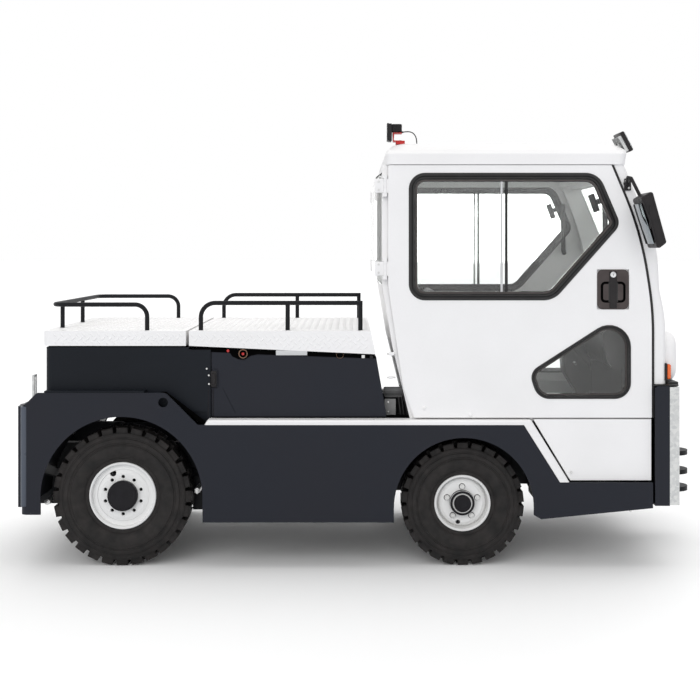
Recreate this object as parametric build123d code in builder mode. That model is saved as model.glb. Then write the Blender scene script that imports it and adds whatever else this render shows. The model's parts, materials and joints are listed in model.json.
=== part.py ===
from build123d import *
import os

# Airport baggage tug: a battery-electric tow tractor with a two-door cab.
# Millimetres. X points forward, Y to the vehicle's left, Z up, and the tyres stand on Z = 0.

os.makedirs("parts", exist_ok=True)

# Driving dimensions
wheelbase = 1652
rear_axle_x = -1125
front_axle_x = rear_axle_x + wheelbase
half_length = 1785
body_half_width = 675
deck_half_width = 600
cab_half_width = 650

# Tyres: 7.00-12 at the rear, 6.50-10 at the front
rear_tyre_radius = 335
rear_tyre_width = 190
rear_rim_radius = 155
front_tyre_radius = 298
front_tyre_width = 176
front_rim_radius = 129
wheel_centre_y = 535

# Levels
skirt_bottom_z = 222
front_skirt_bottom_z = 238
skirt_top_z = 690
rear_plate_top_z = 844
tray_bottom_z = 350
board_top_z = 714
door_bottom_z = 722
door_top_z = 1942
bumper_top_z = 876
bumper_bottom_z = 302
lid_top_z = 1136
lid_skirt_z = 1064
cab_floor_z = 425
seat_deck_z = 700

# Lengthwise stations
rear_face_x = -1602
bumper_channel_x = 1437
bumper_plate_x = 1515
bumper_front_x = 1561
lid_split_x = -810
cab_rear_x = 137

plate = 12
sheet = 6


def save(piece, label):
    piece.part.label = label
    export_step(piece.part, f"parts/{label}.step")


def save_pair(piece, label):
    # The piece is modelled on the right and mirrored to the left
    save(piece, f"{label}_right")
    with BuildPart() as other_side:
        mirror(piece.part, about=Plane.XZ)
    save(other_side, f"{label}_left")


def outline_face(corners, mode=Mode.ADD):
    # Rows of corners: (across, up, corner radius)
    with BuildLine() as outline:
        FilletPolyline(*[(a, b) for a, b, r in corners], radius=[r for a, b, r in corners], close=True)
    make_face(outline.edges(), mode=mode)


def side_plane(y):
    # Side-view plane, across = X and up = Z, that extrudes towards the vehicle's right
    return Plane.XZ.offset(-y)


def block(x_range, y_range, z_range, mode=Mode.ADD):
    size = [high - low for low, high in (x_range, y_range, z_range)]
    centre = [(high + low) / 2 for low, high in (x_range, y_range, z_range)]
    with Locations(tuple(centre)):
        Box(*size, mode=mode)


def block_pair(x_range, y_range, z_range, mode=Mode.ADD):
    # The same block on the right and on the left; y_range counts from the middle outwards
    block(x_range, y_range, z_range, mode)
    block(x_range, (-y_range[1], -y_range[0]), z_range, mode)


def bar(radius, length, centre, direction, mode=Mode.ADD):
    with Locations(Plane(origin=centre, z_dir=direction)):
        Cylinder(radius, length, mode=mode)


# ---------------------------------------------------------------- chassis

arch_rows = (
    # centre x, centre z, radius in the side plate, radius of the wheel house behind it
    (-1117, 340, 389, 398),
    (front_axle_x, 292, 336, 374),
)

side_outline = (
    # x, z, corner radius
    (rear_face_x, 259, 0),
    (rear_face_x, 777, 0),
    (-1572, 795, 15),
    (-1525, rear_plate_top_z, 24),
    (-905, rear_plate_top_z, 40),
    (-751, skirt_top_z, 6),
    (813, skirt_top_z, 24),
    (986, 413, 10),
    (1434, 413, 0),
    (1434, 291, 0),
    (898, front_skirt_bottom_z, 10),
    (855, 262, 0),
    (600, 262, 0),
    (189, skirt_bottom_z, 0),
    (-730, skirt_bottom_z, 0),
    (-1200, 259, 0),
)
corner_bend = 34
corner_return = 120
lashing_hole = (-917, 798, 23.5)  # x, z, radius


def make_side_plates():
    # One thick steel plate a side, bent round the rear corner, with both wheel arches cut out
    with BuildPart() as side_plate:
        with BuildSketch(Plane.XY.offset(200)):
            with BuildLine():
                FilletPolyline(
                    (1434, -body_half_width + plate / 2),
                    (rear_face_x + plate / 2, -body_half_width + plate / 2),
                    (rear_face_x + plate / 2, -body_half_width + corner_return),
                    radius=corner_bend - plate / 2,
                )
                offset(amount=plate / 2)
            make_face()
        extrude(amount=700)
        with BuildSketch(side_plane(0)) as outline:
            outline_face(side_outline)
            for x, z, radius, liner in arch_rows:
                with Locations((x, z)):
                    Circle(radius, mode=Mode.SUBTRACT)
                    Rectangle(2 * radius, 300, align=(Align.CENTER, Align.MAX), mode=Mode.SUBTRACT)
            with Locations(lashing_hole[:2]):
                Circle(lashing_hole[2], mode=Mode.SUBTRACT)
        extrude(amount=body_half_width + 10, mode=Mode.INTERSECT)
    save_pair(side_plate, "side_plate")


front_rail_outline = (
    (100, 400, 0),
    (100, 500, 0),
    (846, 500, 0),
    (892, 404, 0),
    (1430, 404, 0),
    (1430, 300, 0),
    (905, 300, 0),
    (855, 400, 0),
)
outrigger_rows = (
    # x, low z, high z, inner |y|: arms that carry the side plates
    (-1543, 440, 560, 370),
    (-690, tray_bottom_z, 420, 490),
    (-300, tray_bottom_z, 420, 490),
    (120, tray_bottom_z, 560, 255),
    (945, 300, 404, 255),
    (1400, 300, 404, 255),
)
outrigger_width = 50
tray_rear_x = -715
tray_front_x = 145
tray_half_width = 500


def make_chassis_frame():
    # Rails over the rear axle, a battery tray between the axles and narrow rails over the steering axle
    with BuildPart() as chassis_frame:
        block_pair((-1575, tray_rear_x), (330, 380), (430, 560))
        block((rear_face_x, -1570), (-548, 548), (300, 740))
        block((rear_face_x + plate, -1570), (-630, 630), (300, 740))
        block_pair((tray_rear_x, tray_front_x), (440, tray_half_width), (tray_bottom_z, 560))
        block((tray_rear_x, tray_front_x), (-tray_half_width, tray_half_width), (tray_bottom_z, tray_bottom_z + plate))
        block((-830, tray_rear_x), (-380, 380), (430, 560))
        block((tray_rear_x - plate, tray_rear_x), (-380, 380), (tray_bottom_z, 560))
        block((95, tray_front_x), (-tray_half_width, tray_half_width), (tray_bottom_z, 560))
        with BuildSketch(side_plane(-215)):
            outline_face(front_rail_outline)
        front_rail = extrude(amount=50)
        mirror(front_rail, about=Plane.XZ)
        block((1380, 1430), (-265, 265), (300, 404))
        block((920, 970), (-265, 265), (300, 404))
        for x, low, high, inner in outrigger_rows:
            block_pair(
                (x - outrigger_width / 2, x + outrigger_width / 2),
                (inner, body_half_width - plate),
                (low, high),
            )
    save(chassis_frame, "chassis_frame")


def make_wheel_houses():
    # Four curved steel liners between the side plates and the frame
    with BuildPart() as wheel_houses:
        for x, z, radius, liner in arch_rows:
            inner_y = 390 if x < 0 else 270
            with BuildSketch(side_plane(-inner_y)):
                with Locations((x, z)):
                    Circle(liner)
                    Circle(liner - 5, mode=Mode.SUBTRACT)
                    Rectangle(3 * liner, 2 * liner, align=(Align.CENTER, Align.MAX), mode=Mode.SUBTRACT)
            extrude(amount=body_half_width - plate - inner_y)
        mirror(about=Plane.XZ)
    save(wheel_houses, "wheel_houses")


board_rear_x = -704
board_front_x = 850
board_inner_y = 605


def make_running_boards():
    # White step boards on the skirts, with a bevelled strip that runs down the slanted end
    board_thickness = board_top_z - skirt_top_z
    with BuildPart() as running_boards:
        with BuildSketch(side_plane(-board_inner_y)):
            outline_face(
                (
                    (board_rear_x - 16, skirt_top_z, 0),
                    (board_rear_x, board_top_z, 10),
                    (board_front_x, board_top_z, 14),
                    (1034, 415, 0),
                    (988, 415, 0),
                    (815, skirt_top_z, 0),
                )
            )
        extrude(amount=body_half_width - board_inner_y)
        top_edge = running_boards.edges().filter_by(Axis.X).sort_by(Axis.Z)[-2:].sort_by(Axis.Y)[0]
        fillet(top_edge, board_thickness / 2)
        mirror(about=Plane.XZ)
    save(running_boards, "running_boards")


# ---------------------------------------------------------------- rear body and battery bay

rear_box_x = (-1502, lid_split_x + sheet)
rear_box_floor_z = 745
rear_box_top_z = 1057
cheek_front_x = -697
panel_top_rear_z = 1045
panel_top_front_z = 1013


def make_rear_box():
    # Open-topped dark sheet box with rounded rear corners; its cheeks reach forward to the battery panels
    with BuildPart() as rear_box:
        with BuildSketch(Plane.XY.offset(rear_box_floor_z)):
            with Locations(((rear_box_x[0] + rear_box_x[1]) / 2, 0)):
                Rectangle(rear_box_x[1] - rear_box_x[0], 2 * deck_half_width)
        extrude(amount=rear_box_top_z - rear_box_floor_z)
        rear_corners = rear_box.edges().filter_by(Axis.Z).group_by(Axis.X)[0]
        fillet(rear_corners, 32)
        top_face = rear_box.faces().sort_by(Axis.Z)[-1]
        offset(amount=-sheet, openings=top_face)
        with BuildSketch(side_plane(-deck_half_width + sheet)):
            outline_face(
                (
                    (rear_box_x[1] - sheet, rear_box_floor_z, 0),
                    (rear_box_x[1] - sheet, panel_top_rear_z, 0),
                    (cheek_front_x, panel_top_rear_z, 0),
                    (cheek_front_x, 560, 0),
                    (-715, 560, 0),
                    (-715, rear_box_floor_z, 0),
                )
            )
        cheek = extrude(amount=sheet)
        mirror(cheek, about=Plane.XZ)
        block((rear_box_x[1] - sheet, rear_box_x[1]), (-380, 380), (560, rear_box_floor_z))
        block_pair((-1490, -1010), (deck_half_width, 668), (rear_plate_top_z, rear_plate_top_z + 8))
    save(rear_box, "rear_box")


battery_x = (-690, 80)
battery_half_width = 430
battery_top_z = 1000
bay_front_top_x = 100
bay_front_low_x = 148


def make_battery():
    with BuildPart() as battery:
        block(battery_x, (-battery_half_width, battery_half_width), (tray_bottom_z + plate, battery_top_z))
        fillet(battery.edges().filter_by(Axis.Z), 12)
    save(battery, "battery")


socket_x = -541
socket_z = 1020


def make_battery_bay():
    # Side beams that the lid and the side panels rest on, and the slanted front bulkhead
    beam_inner_y = 560
    beam_outer_y = 590
    with BuildPart() as battery_bay:
        with BuildSketch(side_plane(-beam_inner_y)):
            outline_face(
                (
                    (rear_box_x[1], 985, 0),
                    (rear_box_x[1], 1046, 0),
                    (bay_front_top_x + 6, 1008, 0),
                    (bay_front_top_x + 14, 947, 0),
                )
            )
        beam = extrude(amount=beam_outer_y - beam_inner_y)
        mirror(beam, about=Plane.XZ)
        with BuildSketch(side_plane(beam_outer_y)):
            outline_face(
                (
                    (bay_front_top_x, 1008, 0),
                    (bay_front_top_x + 6, 1008, 0),
                    (bay_front_low_x + 6, 734, 0),
                    (tray_front_x, 560, 0),
                    (tray_front_x - 6, 560, 0),
                    (bay_front_low_x, 734, 0),
                )
            )
        extrude(amount=2 * beam_outer_y)
        bar(20, 12, (socket_x, -beam_outer_y - 6, socket_z), (0, 1, 0))
        bar(14, 8, (socket_x, -beam_outer_y - 8, socket_z), (0, 1, 0), Mode.SUBTRACT)
    save(battery_bay, "battery_bay")


def make_battery_side_panels():
    # Lift-off sheet panels with a half-round cut-out for the socket and a rubber latch at the rear seam
    with BuildPart() as battery_side_panels:
        with BuildSketch(side_plane(-590)):
            outline_face(
                (
                    (cheek_front_x + 4, 720, 0),
                    (cheek_front_x + 4, panel_top_rear_z, 0),
                    (bay_front_top_x + 7, panel_top_front_z, 0),
                    (bay_front_low_x + 8, 734, 0),
                    (bay_front_low_x + 8, 720, 0),
                )
            )
            with Locations((socket_x, socket_z)):
                Circle(26, mode=Mode.SUBTRACT)
                Rectangle(52, 60, align=(Align.CENTER, Align.MIN), mode=Mode.SUBTRACT)
        extrude(amount=sheet)
        block((-690, -664), (-606, -596), (866, 948))
        mirror(about=Plane.XZ)
    save(battery_side_panels, "battery_side_panels")


rail_radius = 11
rail_y = 540


def tube(points, bend, radius=rail_radius):
    # Round bar along straight runs joined by equal bends
    with BuildLine() as path:
        FilletPolyline(*points, radius=bend)
    with BuildSketch(Plane(origin=path.line @ 0, z_dir=path.line % 0)) as section:
        Circle(radius)
    sweep(sections=section.sketch, path=path.line)


def make_rear_lid():
    # Skirted chequer-plate lid with rounded rear corners
    with BuildPart() as rear_lid:
        block((-1516, lid_split_x - 8), (-deck_half_width, deck_half_width), (lid_skirt_z, lid_top_z))
        fillet(rear_lid.edges().filter_by(Axis.Z).group_by(Axis.X)[0], 45)
        offset(amount=-sheet, openings=rear_lid.faces().sort_by(Axis.Z)[0])
    save(rear_lid, "rear_lid")


rear_rail_x = (-1478, -1016)
rear_rail_z = 1262
battery_rail_x = (-752, 42)
battery_rail_z = 1270


def make_rear_rail():
    # Low hoop round three sides of the rear deck
    rear_x, front_x = rear_rail_x
    with BuildPart() as rear_rail:
        tube(
            (
                (front_x, -rail_y, lid_top_z),
                (front_x, -rail_y, rear_rail_z),
                (rear_x, -rail_y, rear_rail_z),
                (rear_x, rail_y, rear_rail_z),
                (front_x, rail_y, rear_rail_z),
                (front_x, rail_y, lid_top_z),
            ),
            60,
        )
        for y in (-343, 115):
            bar(rail_radius, rear_rail_z - lid_top_z, (rear_x, y, (rear_rail_z + lid_top_z) / 2), (0, 0, 1))
    save(rear_rail, "rear_rail")


def make_battery_lid():
    # Skirted chequer-plate lid whose lower edge falls towards the cab
    with BuildPart() as battery_lid:
        with BuildSketch(side_plane(deck_half_width)):
            outline_face(
                (
                    (lid_split_x + 7, lid_skirt_z, 0),
                    (lid_split_x + 7, lid_top_z, 0),
                    (81, lid_top_z, 0),
                    (105, 1023, 0),
                )
            )
        extrude(amount=2 * deck_half_width)
        offset(amount=-sheet, openings=battery_lid.faces().sort_by(Axis.Z)[0])
    save(battery_lid, "battery_lid")


def make_battery_rails():
    # One rail on each side of the battery lid, bent down at the rear
    rear_x, front_x = battery_rail_x
    with BuildPart() as battery_rails:
        for y in (-rail_y, rail_y):
            tube(
                (
                    (rear_x, y, lid_top_z),
                    (rear_x, y, battery_rail_z),
                    (front_x, y, battery_rail_z),
                ),
                70,
            )
            for x in (-326, front_x - rail_radius):
                bar(rail_radius, battery_rail_z - lid_top_z, (x, y, (battery_rail_z + lid_top_z) / 2), (0, 0, 1))
    save(battery_rails, "battery_rails")


# ---------------------------------------------------------------- cab shell

cab_frame_y = (558, 604)
door_y = (610, cab_half_width)
cab_front_half_width = 645
cab_rear_outline = (
    # x, z, corner radius: the outer face of the rear wall from the roof down
    (cab_rear_x, door_top_z, 0),
    (cab_rear_x, 1356, 40),
    (187, 1059, 0),
    (274, seat_deck_z, 0),
)
door_front_outline = (
    # x, z, corner radius: the door's front edge from the sill up
    (1434, door_bottom_z, 0),
    (1434, 1240, 1500),
    (1378, 1610, 1600),
    (1240, door_top_z - 3, 0),
)
nose_outline = (
    # x, z, corner radius: the cab's front from the bumper up to the roof
    (1507, bumper_top_z, 0),
    (1507, 1205, 600),
    (1478, 1340, 400),
    (1472, 1480, 600),
    (1452, 1590, 450),
    (1306, door_top_z, 0),
)
front_gap = 8
header_height = 47
hinge_x = 150
hinge_y = 640
hinge_radius = 9
hinge_length = 44
hinge_levels = (1440, 1840)


def shifted(rows, dx, low_z=None, top_z=None):
    # The same outline moved along X, with its ends set to new heights
    points = [(x + dx, z, r) for x, z, r in rows]
    if low_z is not None:
        points[0] = (points[0][0], low_z, 0)
    if top_z is not None:
        points[-1] = (points[-1][0], top_z, 0)
    return points


def make_cab_frame():
    # Welded ring behind each door, tied by headers at the front and rear of the roof
    low, high = cab_frame_y
    with BuildPart() as cab_frame:
        with BuildSketch(side_plane(-low)):
            outline_face(
                list(cab_rear_outline)
                + shifted(door_front_outline, front_gap, low_z=seat_deck_z, top_z=door_top_z)
            )
            outline_face(
                (
                    (190, 1895, 40),
                    (190, 1362, 60),
                    (310, 770, 40),
                    (1386, 770, 60),
                    (1386, 1236, 1400),
                    (1333, 1600, 1500),
                    (1216, 1895, 30),
                ),
                Mode.SUBTRACT,
            )
        ring = extrude(amount=high - low)
        mirror(ring, about=Plane.XZ)
        for x_range in ((cab_rear_x, cab_rear_x + header_height), (1200, 1248)):
            block(x_range, (-low, low), (door_top_z - header_height, door_top_z))
        for z in hinge_levels:
            for offset_z in (-hinge_length, hinge_length):
                block_pair(
                    (cab_rear_x, hinge_x + hinge_radius),
                    (high, hinge_y + hinge_radius),
                    (z + offset_z - 8, z + offset_z + 8),
                )
    save(cab_frame, "cab_frame")


rear_opening = ((-450, 450), (1400, 1860))  # |y| range, z range
wall_thickness = 30


def make_cab_rear_wall():
    # Rear wall with its window opening, bent to follow the slope over the battery bay
    with BuildPart() as cab_rear_wall:
        with BuildSketch(side_plane(cab_frame_y[0])):
            outline_face(
                [(x, min(z, door_top_z - header_height), r) for x, z, r in cab_rear_outline]
                + [
                    (x + wall_thickness, min(z, door_top_z - header_height), r)
                    for x, z, r in reversed(cab_rear_outline)
                ]
            )
        extrude(amount=2 * cab_frame_y[0])
        block((0, 400), *rear_opening, mode=Mode.SUBTRACT)
    save(cab_rear_wall, "cab_rear_wall")


screen_half_width = 560
screen_z = (1345, 1880)
screen_thickness = 6


def make_cab_front():
    # Curved front surround: nose panel, corner pillars and the lintel over the windscreen
    with BuildPart() as cab_front:
        with BuildSketch(side_plane(cab_front_half_width)):
            outline_face(
                list(nose_outline)
                + list(reversed(shifted(door_front_outline, front_gap, low_z=bumper_top_z, top_z=door_top_z)))
            )
        extrude(amount=2 * cab_front_half_width)
        block((1100, 1600), (-screen_half_width, screen_half_width), screen_z, Mode.SUBTRACT)
        corners = cab_front.edges().filter_by(GeomType.LINE).filter_by(Axis.Z)
        front_corners = corners.filter_by_position(Axis.X, 1500, 1510)
        fillet(front_corners, 30)
    save(cab_front, "cab_front")


def make_cab_glazing():
    # Bent windscreen set into its surround, and the bowed pane that stands out from the rear wall
    with BuildPart() as cab_glazing:
        with BuildSketch(side_plane(screen_half_width)):
            outline_face(
                shifted(nose_outline, -10, low_z=1100)
                + list(reversed(shifted(nose_outline, -10 - screen_thickness, low_z=1100)))
            )
        extrude(amount=2 * screen_half_width)
        block((1100, 1600), (-screen_half_width, screen_half_width), screen_z, Mode.INTERSECT)
        with BuildSketch(side_plane(500)):
            with BuildLine():
                FilletPolyline((cab_rear_x, 1362), (108, 1384), (104, 1635), (108, 1886), (cab_rear_x, 1908), radius=20)
                offset(amount=3, side=Side.BOTH)
            make_face()
        extrude(amount=1000)
        block((cab_rear_x, cab_rear_x + 100), (-600, 600), (1300, 2000), Mode.SUBTRACT)
    save(cab_glazing, "cab_glazing")


roof_edge_z = 1994
roof_top_z = 2052


def make_cab_roof():
    # Moulded roof cap: upright edge, a shoulder and a raised deck
    sections = (
        # height, rear x, front x, half width
        (door_top_z, 155, 1310, 655),
        (roof_edge_z, 152, 1318, 655),
        (2012, 158, 1322, 640),
        (2040, 190, 1290, 585),
        (roof_top_z, 230, 1240, 540),
    )
    with BuildPart() as cab_roof:
        for (z, rear_x, front_x, half_width) in sections:
            with BuildSketch(Plane.XY.offset(z)):
                with Locations(((rear_x + front_x) / 2, 0)):
                    RectangleRounded(front_x - rear_x, 2 * half_width, 40)
        loft(ruled=True)
        block((200, 1190), (-550, 550), (door_top_z, roof_edge_z), Mode.SUBTRACT)
    save(cab_roof, "cab_roof")


low_floor_x = (899, 1430)
cab_floor_half_width = 604


def make_cab_floor():
    # Low floor before the seat, a riser, the deck over the wheel houses and the bulkhead behind the bumper
    with BuildPart() as cab_floor:
        block(low_floor_x, (-cab_floor_half_width, cab_floor_half_width), (cab_floor_z - 12, cab_floor_z))
        block((low_floor_x[0], 905), (-cab_floor_half_width, cab_floor_half_width), (cab_floor_z, seat_deck_z))
        block((274, 905), (-cab_floor_half_width, cab_floor_half_width), (seat_deck_z - 10, seat_deck_z))
        block((1430, 1442), (-cab_floor_half_width, cab_floor_half_width), (300, seat_deck_z))
        block((1430, 1442), (-cab_frame_y[0], cab_frame_y[0]), (seat_deck_z, 940))
        block_pair((180, 846), (255, 265), (500, seat_deck_z - 10))
    save(cab_floor, "cab_floor")


def make_lower_side_panels():
    # White panels under the doors, cut on a slant beside the step strip
    with BuildPart() as lower_side_panels:
        with BuildSketch(side_plane(-cab_floor_half_width)):
            outline_face(
                (
                    (864, board_top_z, 4),
                    (1432, board_top_z, 0),
                    (1432, 420, 0),
                    (1042, 420, 4),
                )
            )
        extrude(amount=44)
        mirror(about=Plane.XZ)
    save(lower_side_panels, "lower_side_panels")


# ---------------------------------------------------------------- doors

door_outline = (
    [(164, door_top_z - 3, 8), (164, 1361, 60), (235, 874, 0), (289, door_bottom_z, 8)]
    + list(door_front_outline)
)
upper_window = (
    (263, 1287, 78),
    (263, 1902, 78),
    (1178, 1902, 95),
    (1285, 1652, 60),
    (962, 1287, 110),
)
lower_window = (
    (1334, 812, 78),
    (1334, 1256, 105),
    (842, 940, 42),
    (885, 812, 70),
)
window_rows = (
    # outline of the rubber, hidden lip, full width of the rubber
    (upper_window, 14, 43),
    (lower_window, 10, 26),
)
handle_centre = (1247, 1340)
handle_size = (154, 193)
seal_out = 5


def window_wire(outline, inset):
    # Closed outline of a window, moved inwards
    with BuildLine() as rubber:
        FilletPolyline(*[(x, z) for x, z, r in outline], radius=[r for x, z, r in outline], close=True)
    if inset == 0:
        return rubber.wires()[0]
    return offset(rubber.wires()[0], amount=-inset, mode=Mode.PRIVATE)


def make_doors():
    inner, outer = door_y
    with BuildPart() as door:
        with BuildSketch(side_plane(-inner)):
            outline_face(door_outline)
            for outline, lip, width in window_rows:
                make_face(window_wire(outline, lip).edges(), mode=Mode.SUBTRACT)
        extrude(amount=outer - inner)
        block(
            (handle_centre[0] - handle_size[0] / 2, handle_centre[0] + handle_size[0] / 2),
            (-outer, -outer + 16),
            (handle_centre[1] - handle_size[1] / 2, handle_centre[1] + handle_size[1] / 2),
            Mode.SUBTRACT,
        )
        for z in hinge_levels:
            with Locations((hinge_x, -hinge_y, z)):
                Cylinder(hinge_radius, 2 * hinge_length - 20)
            block((hinge_x, 170), (-hinge_y - 4, -hinge_y + 4), (z - hinge_length + 10, z + hinge_length - 10))
    save_pair(door, "door")


def make_door_seals():
    # Rubber frames: a body through the door and a lip over its outer face
    inner, outer = door_y
    with BuildPart() as seals:
        for outline, lip, width in window_rows:
            with BuildSketch(side_plane(-inner)):
                make_face(window_wire(outline, lip).edges())
                make_face(window_wire(outline, width).edges(), mode=Mode.SUBTRACT)
            extrude(amount=outer - inner)
            with BuildSketch(side_plane(-outer)):
                make_face(window_wire(outline, 0).edges())
                make_face(window_wire(outline, width).edges(), mode=Mode.SUBTRACT)
            extrude(amount=seal_out)
        block((728, 742), (-640, -633), (1287 + 43, 1902 - 43))
    save_pair(seals, "door_seals")


def make_door_glass():
    with BuildPart() as glass:
        for outline, lip, width in window_rows:
            with BuildSketch(side_plane(-627)):
                make_face(window_wire(outline, width).edges())
            extrude(amount=6)
    save_pair(glass, "door_glass")


def make_door_handles():
    # Flush paddle handle: a tray let into the door with a grip bar across it
    x, z = handle_centre
    width, height = handle_size
    with BuildPart() as handle:
        block(
            (x - width / 2, x + width / 2),
            (-door_y[1] - 3, -door_y[1] + 16),
            (z - height / 2, z + height / 2),
        )
        fillet(handle.edges().filter_by(Axis.Y), 20)
        block((x - 60, x + 60), (-door_y[1] - 3, -door_y[1] + 8), (z - 70, z + 50), Mode.SUBTRACT)
        block((x - 16, x + 16), (-door_y[1] - 5, -door_y[1] + 10), (z - 86, z + 62))
        block((x - 44, x + 44), (-door_y[1] - 2, -door_y[1] + 2), (z - 56, z + 24))
    save_pair(handle, "door_handle")


# ---------------------------------------------------------------- cab inside

def make_seat():
    with BuildPart() as seat_base:
        block((420, 900), (-200, 200), (seat_deck_z, 762))
        fillet(seat_base.edges().filter_by(Axis.Z), 30)
        chamfer(seat_base.faces().sort_by(Axis.Z)[-1].edges(), 12)
        with BuildSketch(side_plane(60)):
            outline_face(
                ((384, 712, 0), (430, 712, 0), (430, 750, 0), (400, 885, 0), (388.8, 996, 0), (372, 996, 0))
            )
        extrude(amount=120)
    save(seat_base, "seat_base")
    with BuildPart() as seat_cushion:
        block((450, 950), (-245, 245), (762, 875))
        fillet(seat_cushion.edges().filter_by(Axis.Z), 60)
        fillet(seat_cushion.faces().sort_by(Axis.Z)[-1].edges(), 30)
    with BuildPart() as seat_backrest:
        with BuildSketch(side_plane(235)):
            outline_face(((400, 885, 20), (490, 885, 40), (440, 1330, 35), (356, 1322, 30)))
        extrude(amount=470)
        fillet(seat_backrest.faces().sort_by(Axis.Y)[-1].edges(), 18)
        fillet(seat_backrest.faces().sort_by(Axis.Y)[0].edges(), 18)
    with BuildPart() as seat_cushions:
        add(seat_cushion.part)
        add(seat_backrest.part)
    save(seat_cushions, "seat_cushions")


column_foot = Vector(1290, 0, 900)
wheel_hub = Vector(1075, 0, 1170)
column_direction = (wheel_hub - column_foot).normalized()
steering_wheel_radius = 185


def make_controls():
    with BuildPart() as dashboard:
        with BuildSketch(side_plane(540)):
            outline_face(
                ((1430, 945, 0), (1430, 1180, 0), (1330, 1196, 40), (1215, 1120, 30), (1250, 945, 60))
            )
        extrude(amount=1080)
        bar(34, 600, column_foot, column_direction, Mode.SUBTRACT)
    save(dashboard, "dashboard")
    with BuildPart() as steering_column:
        start = wheel_hub - column_direction * 12.5
        centre = (column_foot + start) / 2
        bar(34, (start - column_foot).length - 60, centre - column_direction * 30, column_direction)
        bar(14, (start - column_foot).length, centre, column_direction)
        block((1260, 1420), (-60, 60), (cab_floor_z, 945))
    save(steering_column, "steering_column")
    with BuildPart() as pedals:
        for y, width in ((-130, 70), (110, 90)):
            with BuildSketch(side_plane(y + width / 2)):
                outline_face(
                    ((1262, 470, 4), (1236, 600, 4), (1250, 604, 4), (1290, 480, 4), (1430, 480, 0), (1430, 466, 0))
                )
            extrude(amount=width)
    save(pedals, "pedals")
    with BuildPart() as steering_wheel:
        wheel_plane = Plane(origin=wheel_hub, x_dir=(0, 1, 0), z_dir=column_direction)
        with BuildSketch(Plane(origin=wheel_hub, x_dir=(0, 1, 0), z_dir=wheel_plane.y_dir)):
            with Locations((steering_wheel_radius, 0)):
                RegularPolygon(15, 8)
        revolve(axis=Axis(wheel_hub, column_direction))
        with Locations(Plane(origin=wheel_hub, z_dir=column_direction)):
            Cylinder(44, 24)
        for angle in (90, 210, 330):
            spoke_plane = Plane(origin=wheel_hub, z_dir=column_direction).rotated((0, 0, angle))
            with Locations(spoke_plane):
                Box(steering_wheel_radius, 30, 10, align=(Align.MIN, Align.CENTER, Align.CENTER))
    save(steering_wheel, "steering_wheel")


# ---------------------------------------------------------------- bumpers and couplings

def make_bumpers():
    with BuildPart() as front_bumper:
        channel_rear_x = bumper_channel_x + 8
        block((channel_rear_x, bumper_plate_x), (-body_half_width, body_half_width), (bumper_bottom_z, bumper_top_z))
        fillet(front_bumper.edges().filter_by(Axis.Y).group_by(Axis.X)[0].sort_by(Axis.Z)[-1], 18)
        inner_y = body_half_width - plate
        block(
            (channel_rear_x, bumper_plate_x - plate),
            (-inner_y, inner_y),
            (bumper_bottom_z + plate, bumper_top_z - plate),
            Mode.SUBTRACT,
        )
    save(front_bumper, "front_bumper")
    with BuildPart() as front_bumper_plate:
        block((bumper_plate_x, bumper_front_x), (-body_half_width, body_half_width), (bumper_bottom_z + 4, 872))
        block(
            (bumper_plate_x, bumper_front_x - plate),
            (-body_half_width + plate, body_half_width - plate),
            (bumper_bottom_z, bumper_top_z),
            Mode.SUBTRACT,
        )
    save(front_bumper_plate, "front_bumper_plate")
    with BuildPart() as rear_bumper:
        block((-1621, rear_face_x), (-655, 655), (292, 777))
        fillet(rear_bumper.edges().filter_by(Axis.Z).group_by(Axis.X)[0], 12)
    save(rear_bumper, "rear_bumper")


jaw_width = 150
jaw_thickness = 24
pin_radius = 15
pin_clearance = 1


coupling_rows = (
    # face x, pin x, direction, jaw levels, top of the pin's handle
    (-1621, jaw_width / 2 - half_length, -1, (480, 580, 680), 862),
    (bumper_front_x, half_length - jaw_width / 2, 1, (250, 340, 440), 560),
)


def make_couplings():
    # Back plates with stacked jaws, front and rear
    with BuildPart() as tow_couplings:
        for face_x, pin_x, direction, jaw_levels, handle_top in coupling_rows:
            block(
                sorted((face_x, face_x + direction * 20)),
                (-100, 100),
                (jaw_levels[0] - 40, jaw_levels[-1] + jaw_thickness + 40),
            )
            for z in jaw_levels:
                with BuildSketch(Plane.XY.offset(z)):
                    with Locations((pin_x, 0)):
                        Circle(jaw_width / 2)
                    with Locations(((face_x + pin_x) / 2, 0)):
                        Rectangle(abs(pin_x - face_x), jaw_width)
                    with Locations((pin_x, 0)):
                        Circle(pin_radius + pin_clearance, mode=Mode.SUBTRACT)
                extrude(amount=jaw_thickness)
    save(tow_couplings, "tow_couplings")


def make_coupling_pins():
    # Drop-in pins that rest on their collars, each with a loop handle
    with BuildPart() as coupling_pins:
        for face_x, pin_x, direction, jaw_levels, handle_top in coupling_rows:
            low = jaw_levels[0] - 20
            top = jaw_levels[-1] + jaw_thickness
            bar(pin_radius, top + 20 - low, (pin_x, 0, (top + 20 + low) / 2), (0, 0, 1))
            bar(pin_radius + 9, 12, (pin_x, 0, top + 6), (0, 0, 1))
            block((pin_x - 6, pin_x + 6), (-28, 28), (top + 12, handle_top))
            block((pin_x - 20, pin_x + 20), (-18, 18), (top + 40, handle_top - 10), Mode.SUBTRACT)
    save(coupling_pins, "coupling_pins")


# ---------------------------------------------------------------- lamps, mirrors, wiper

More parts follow.
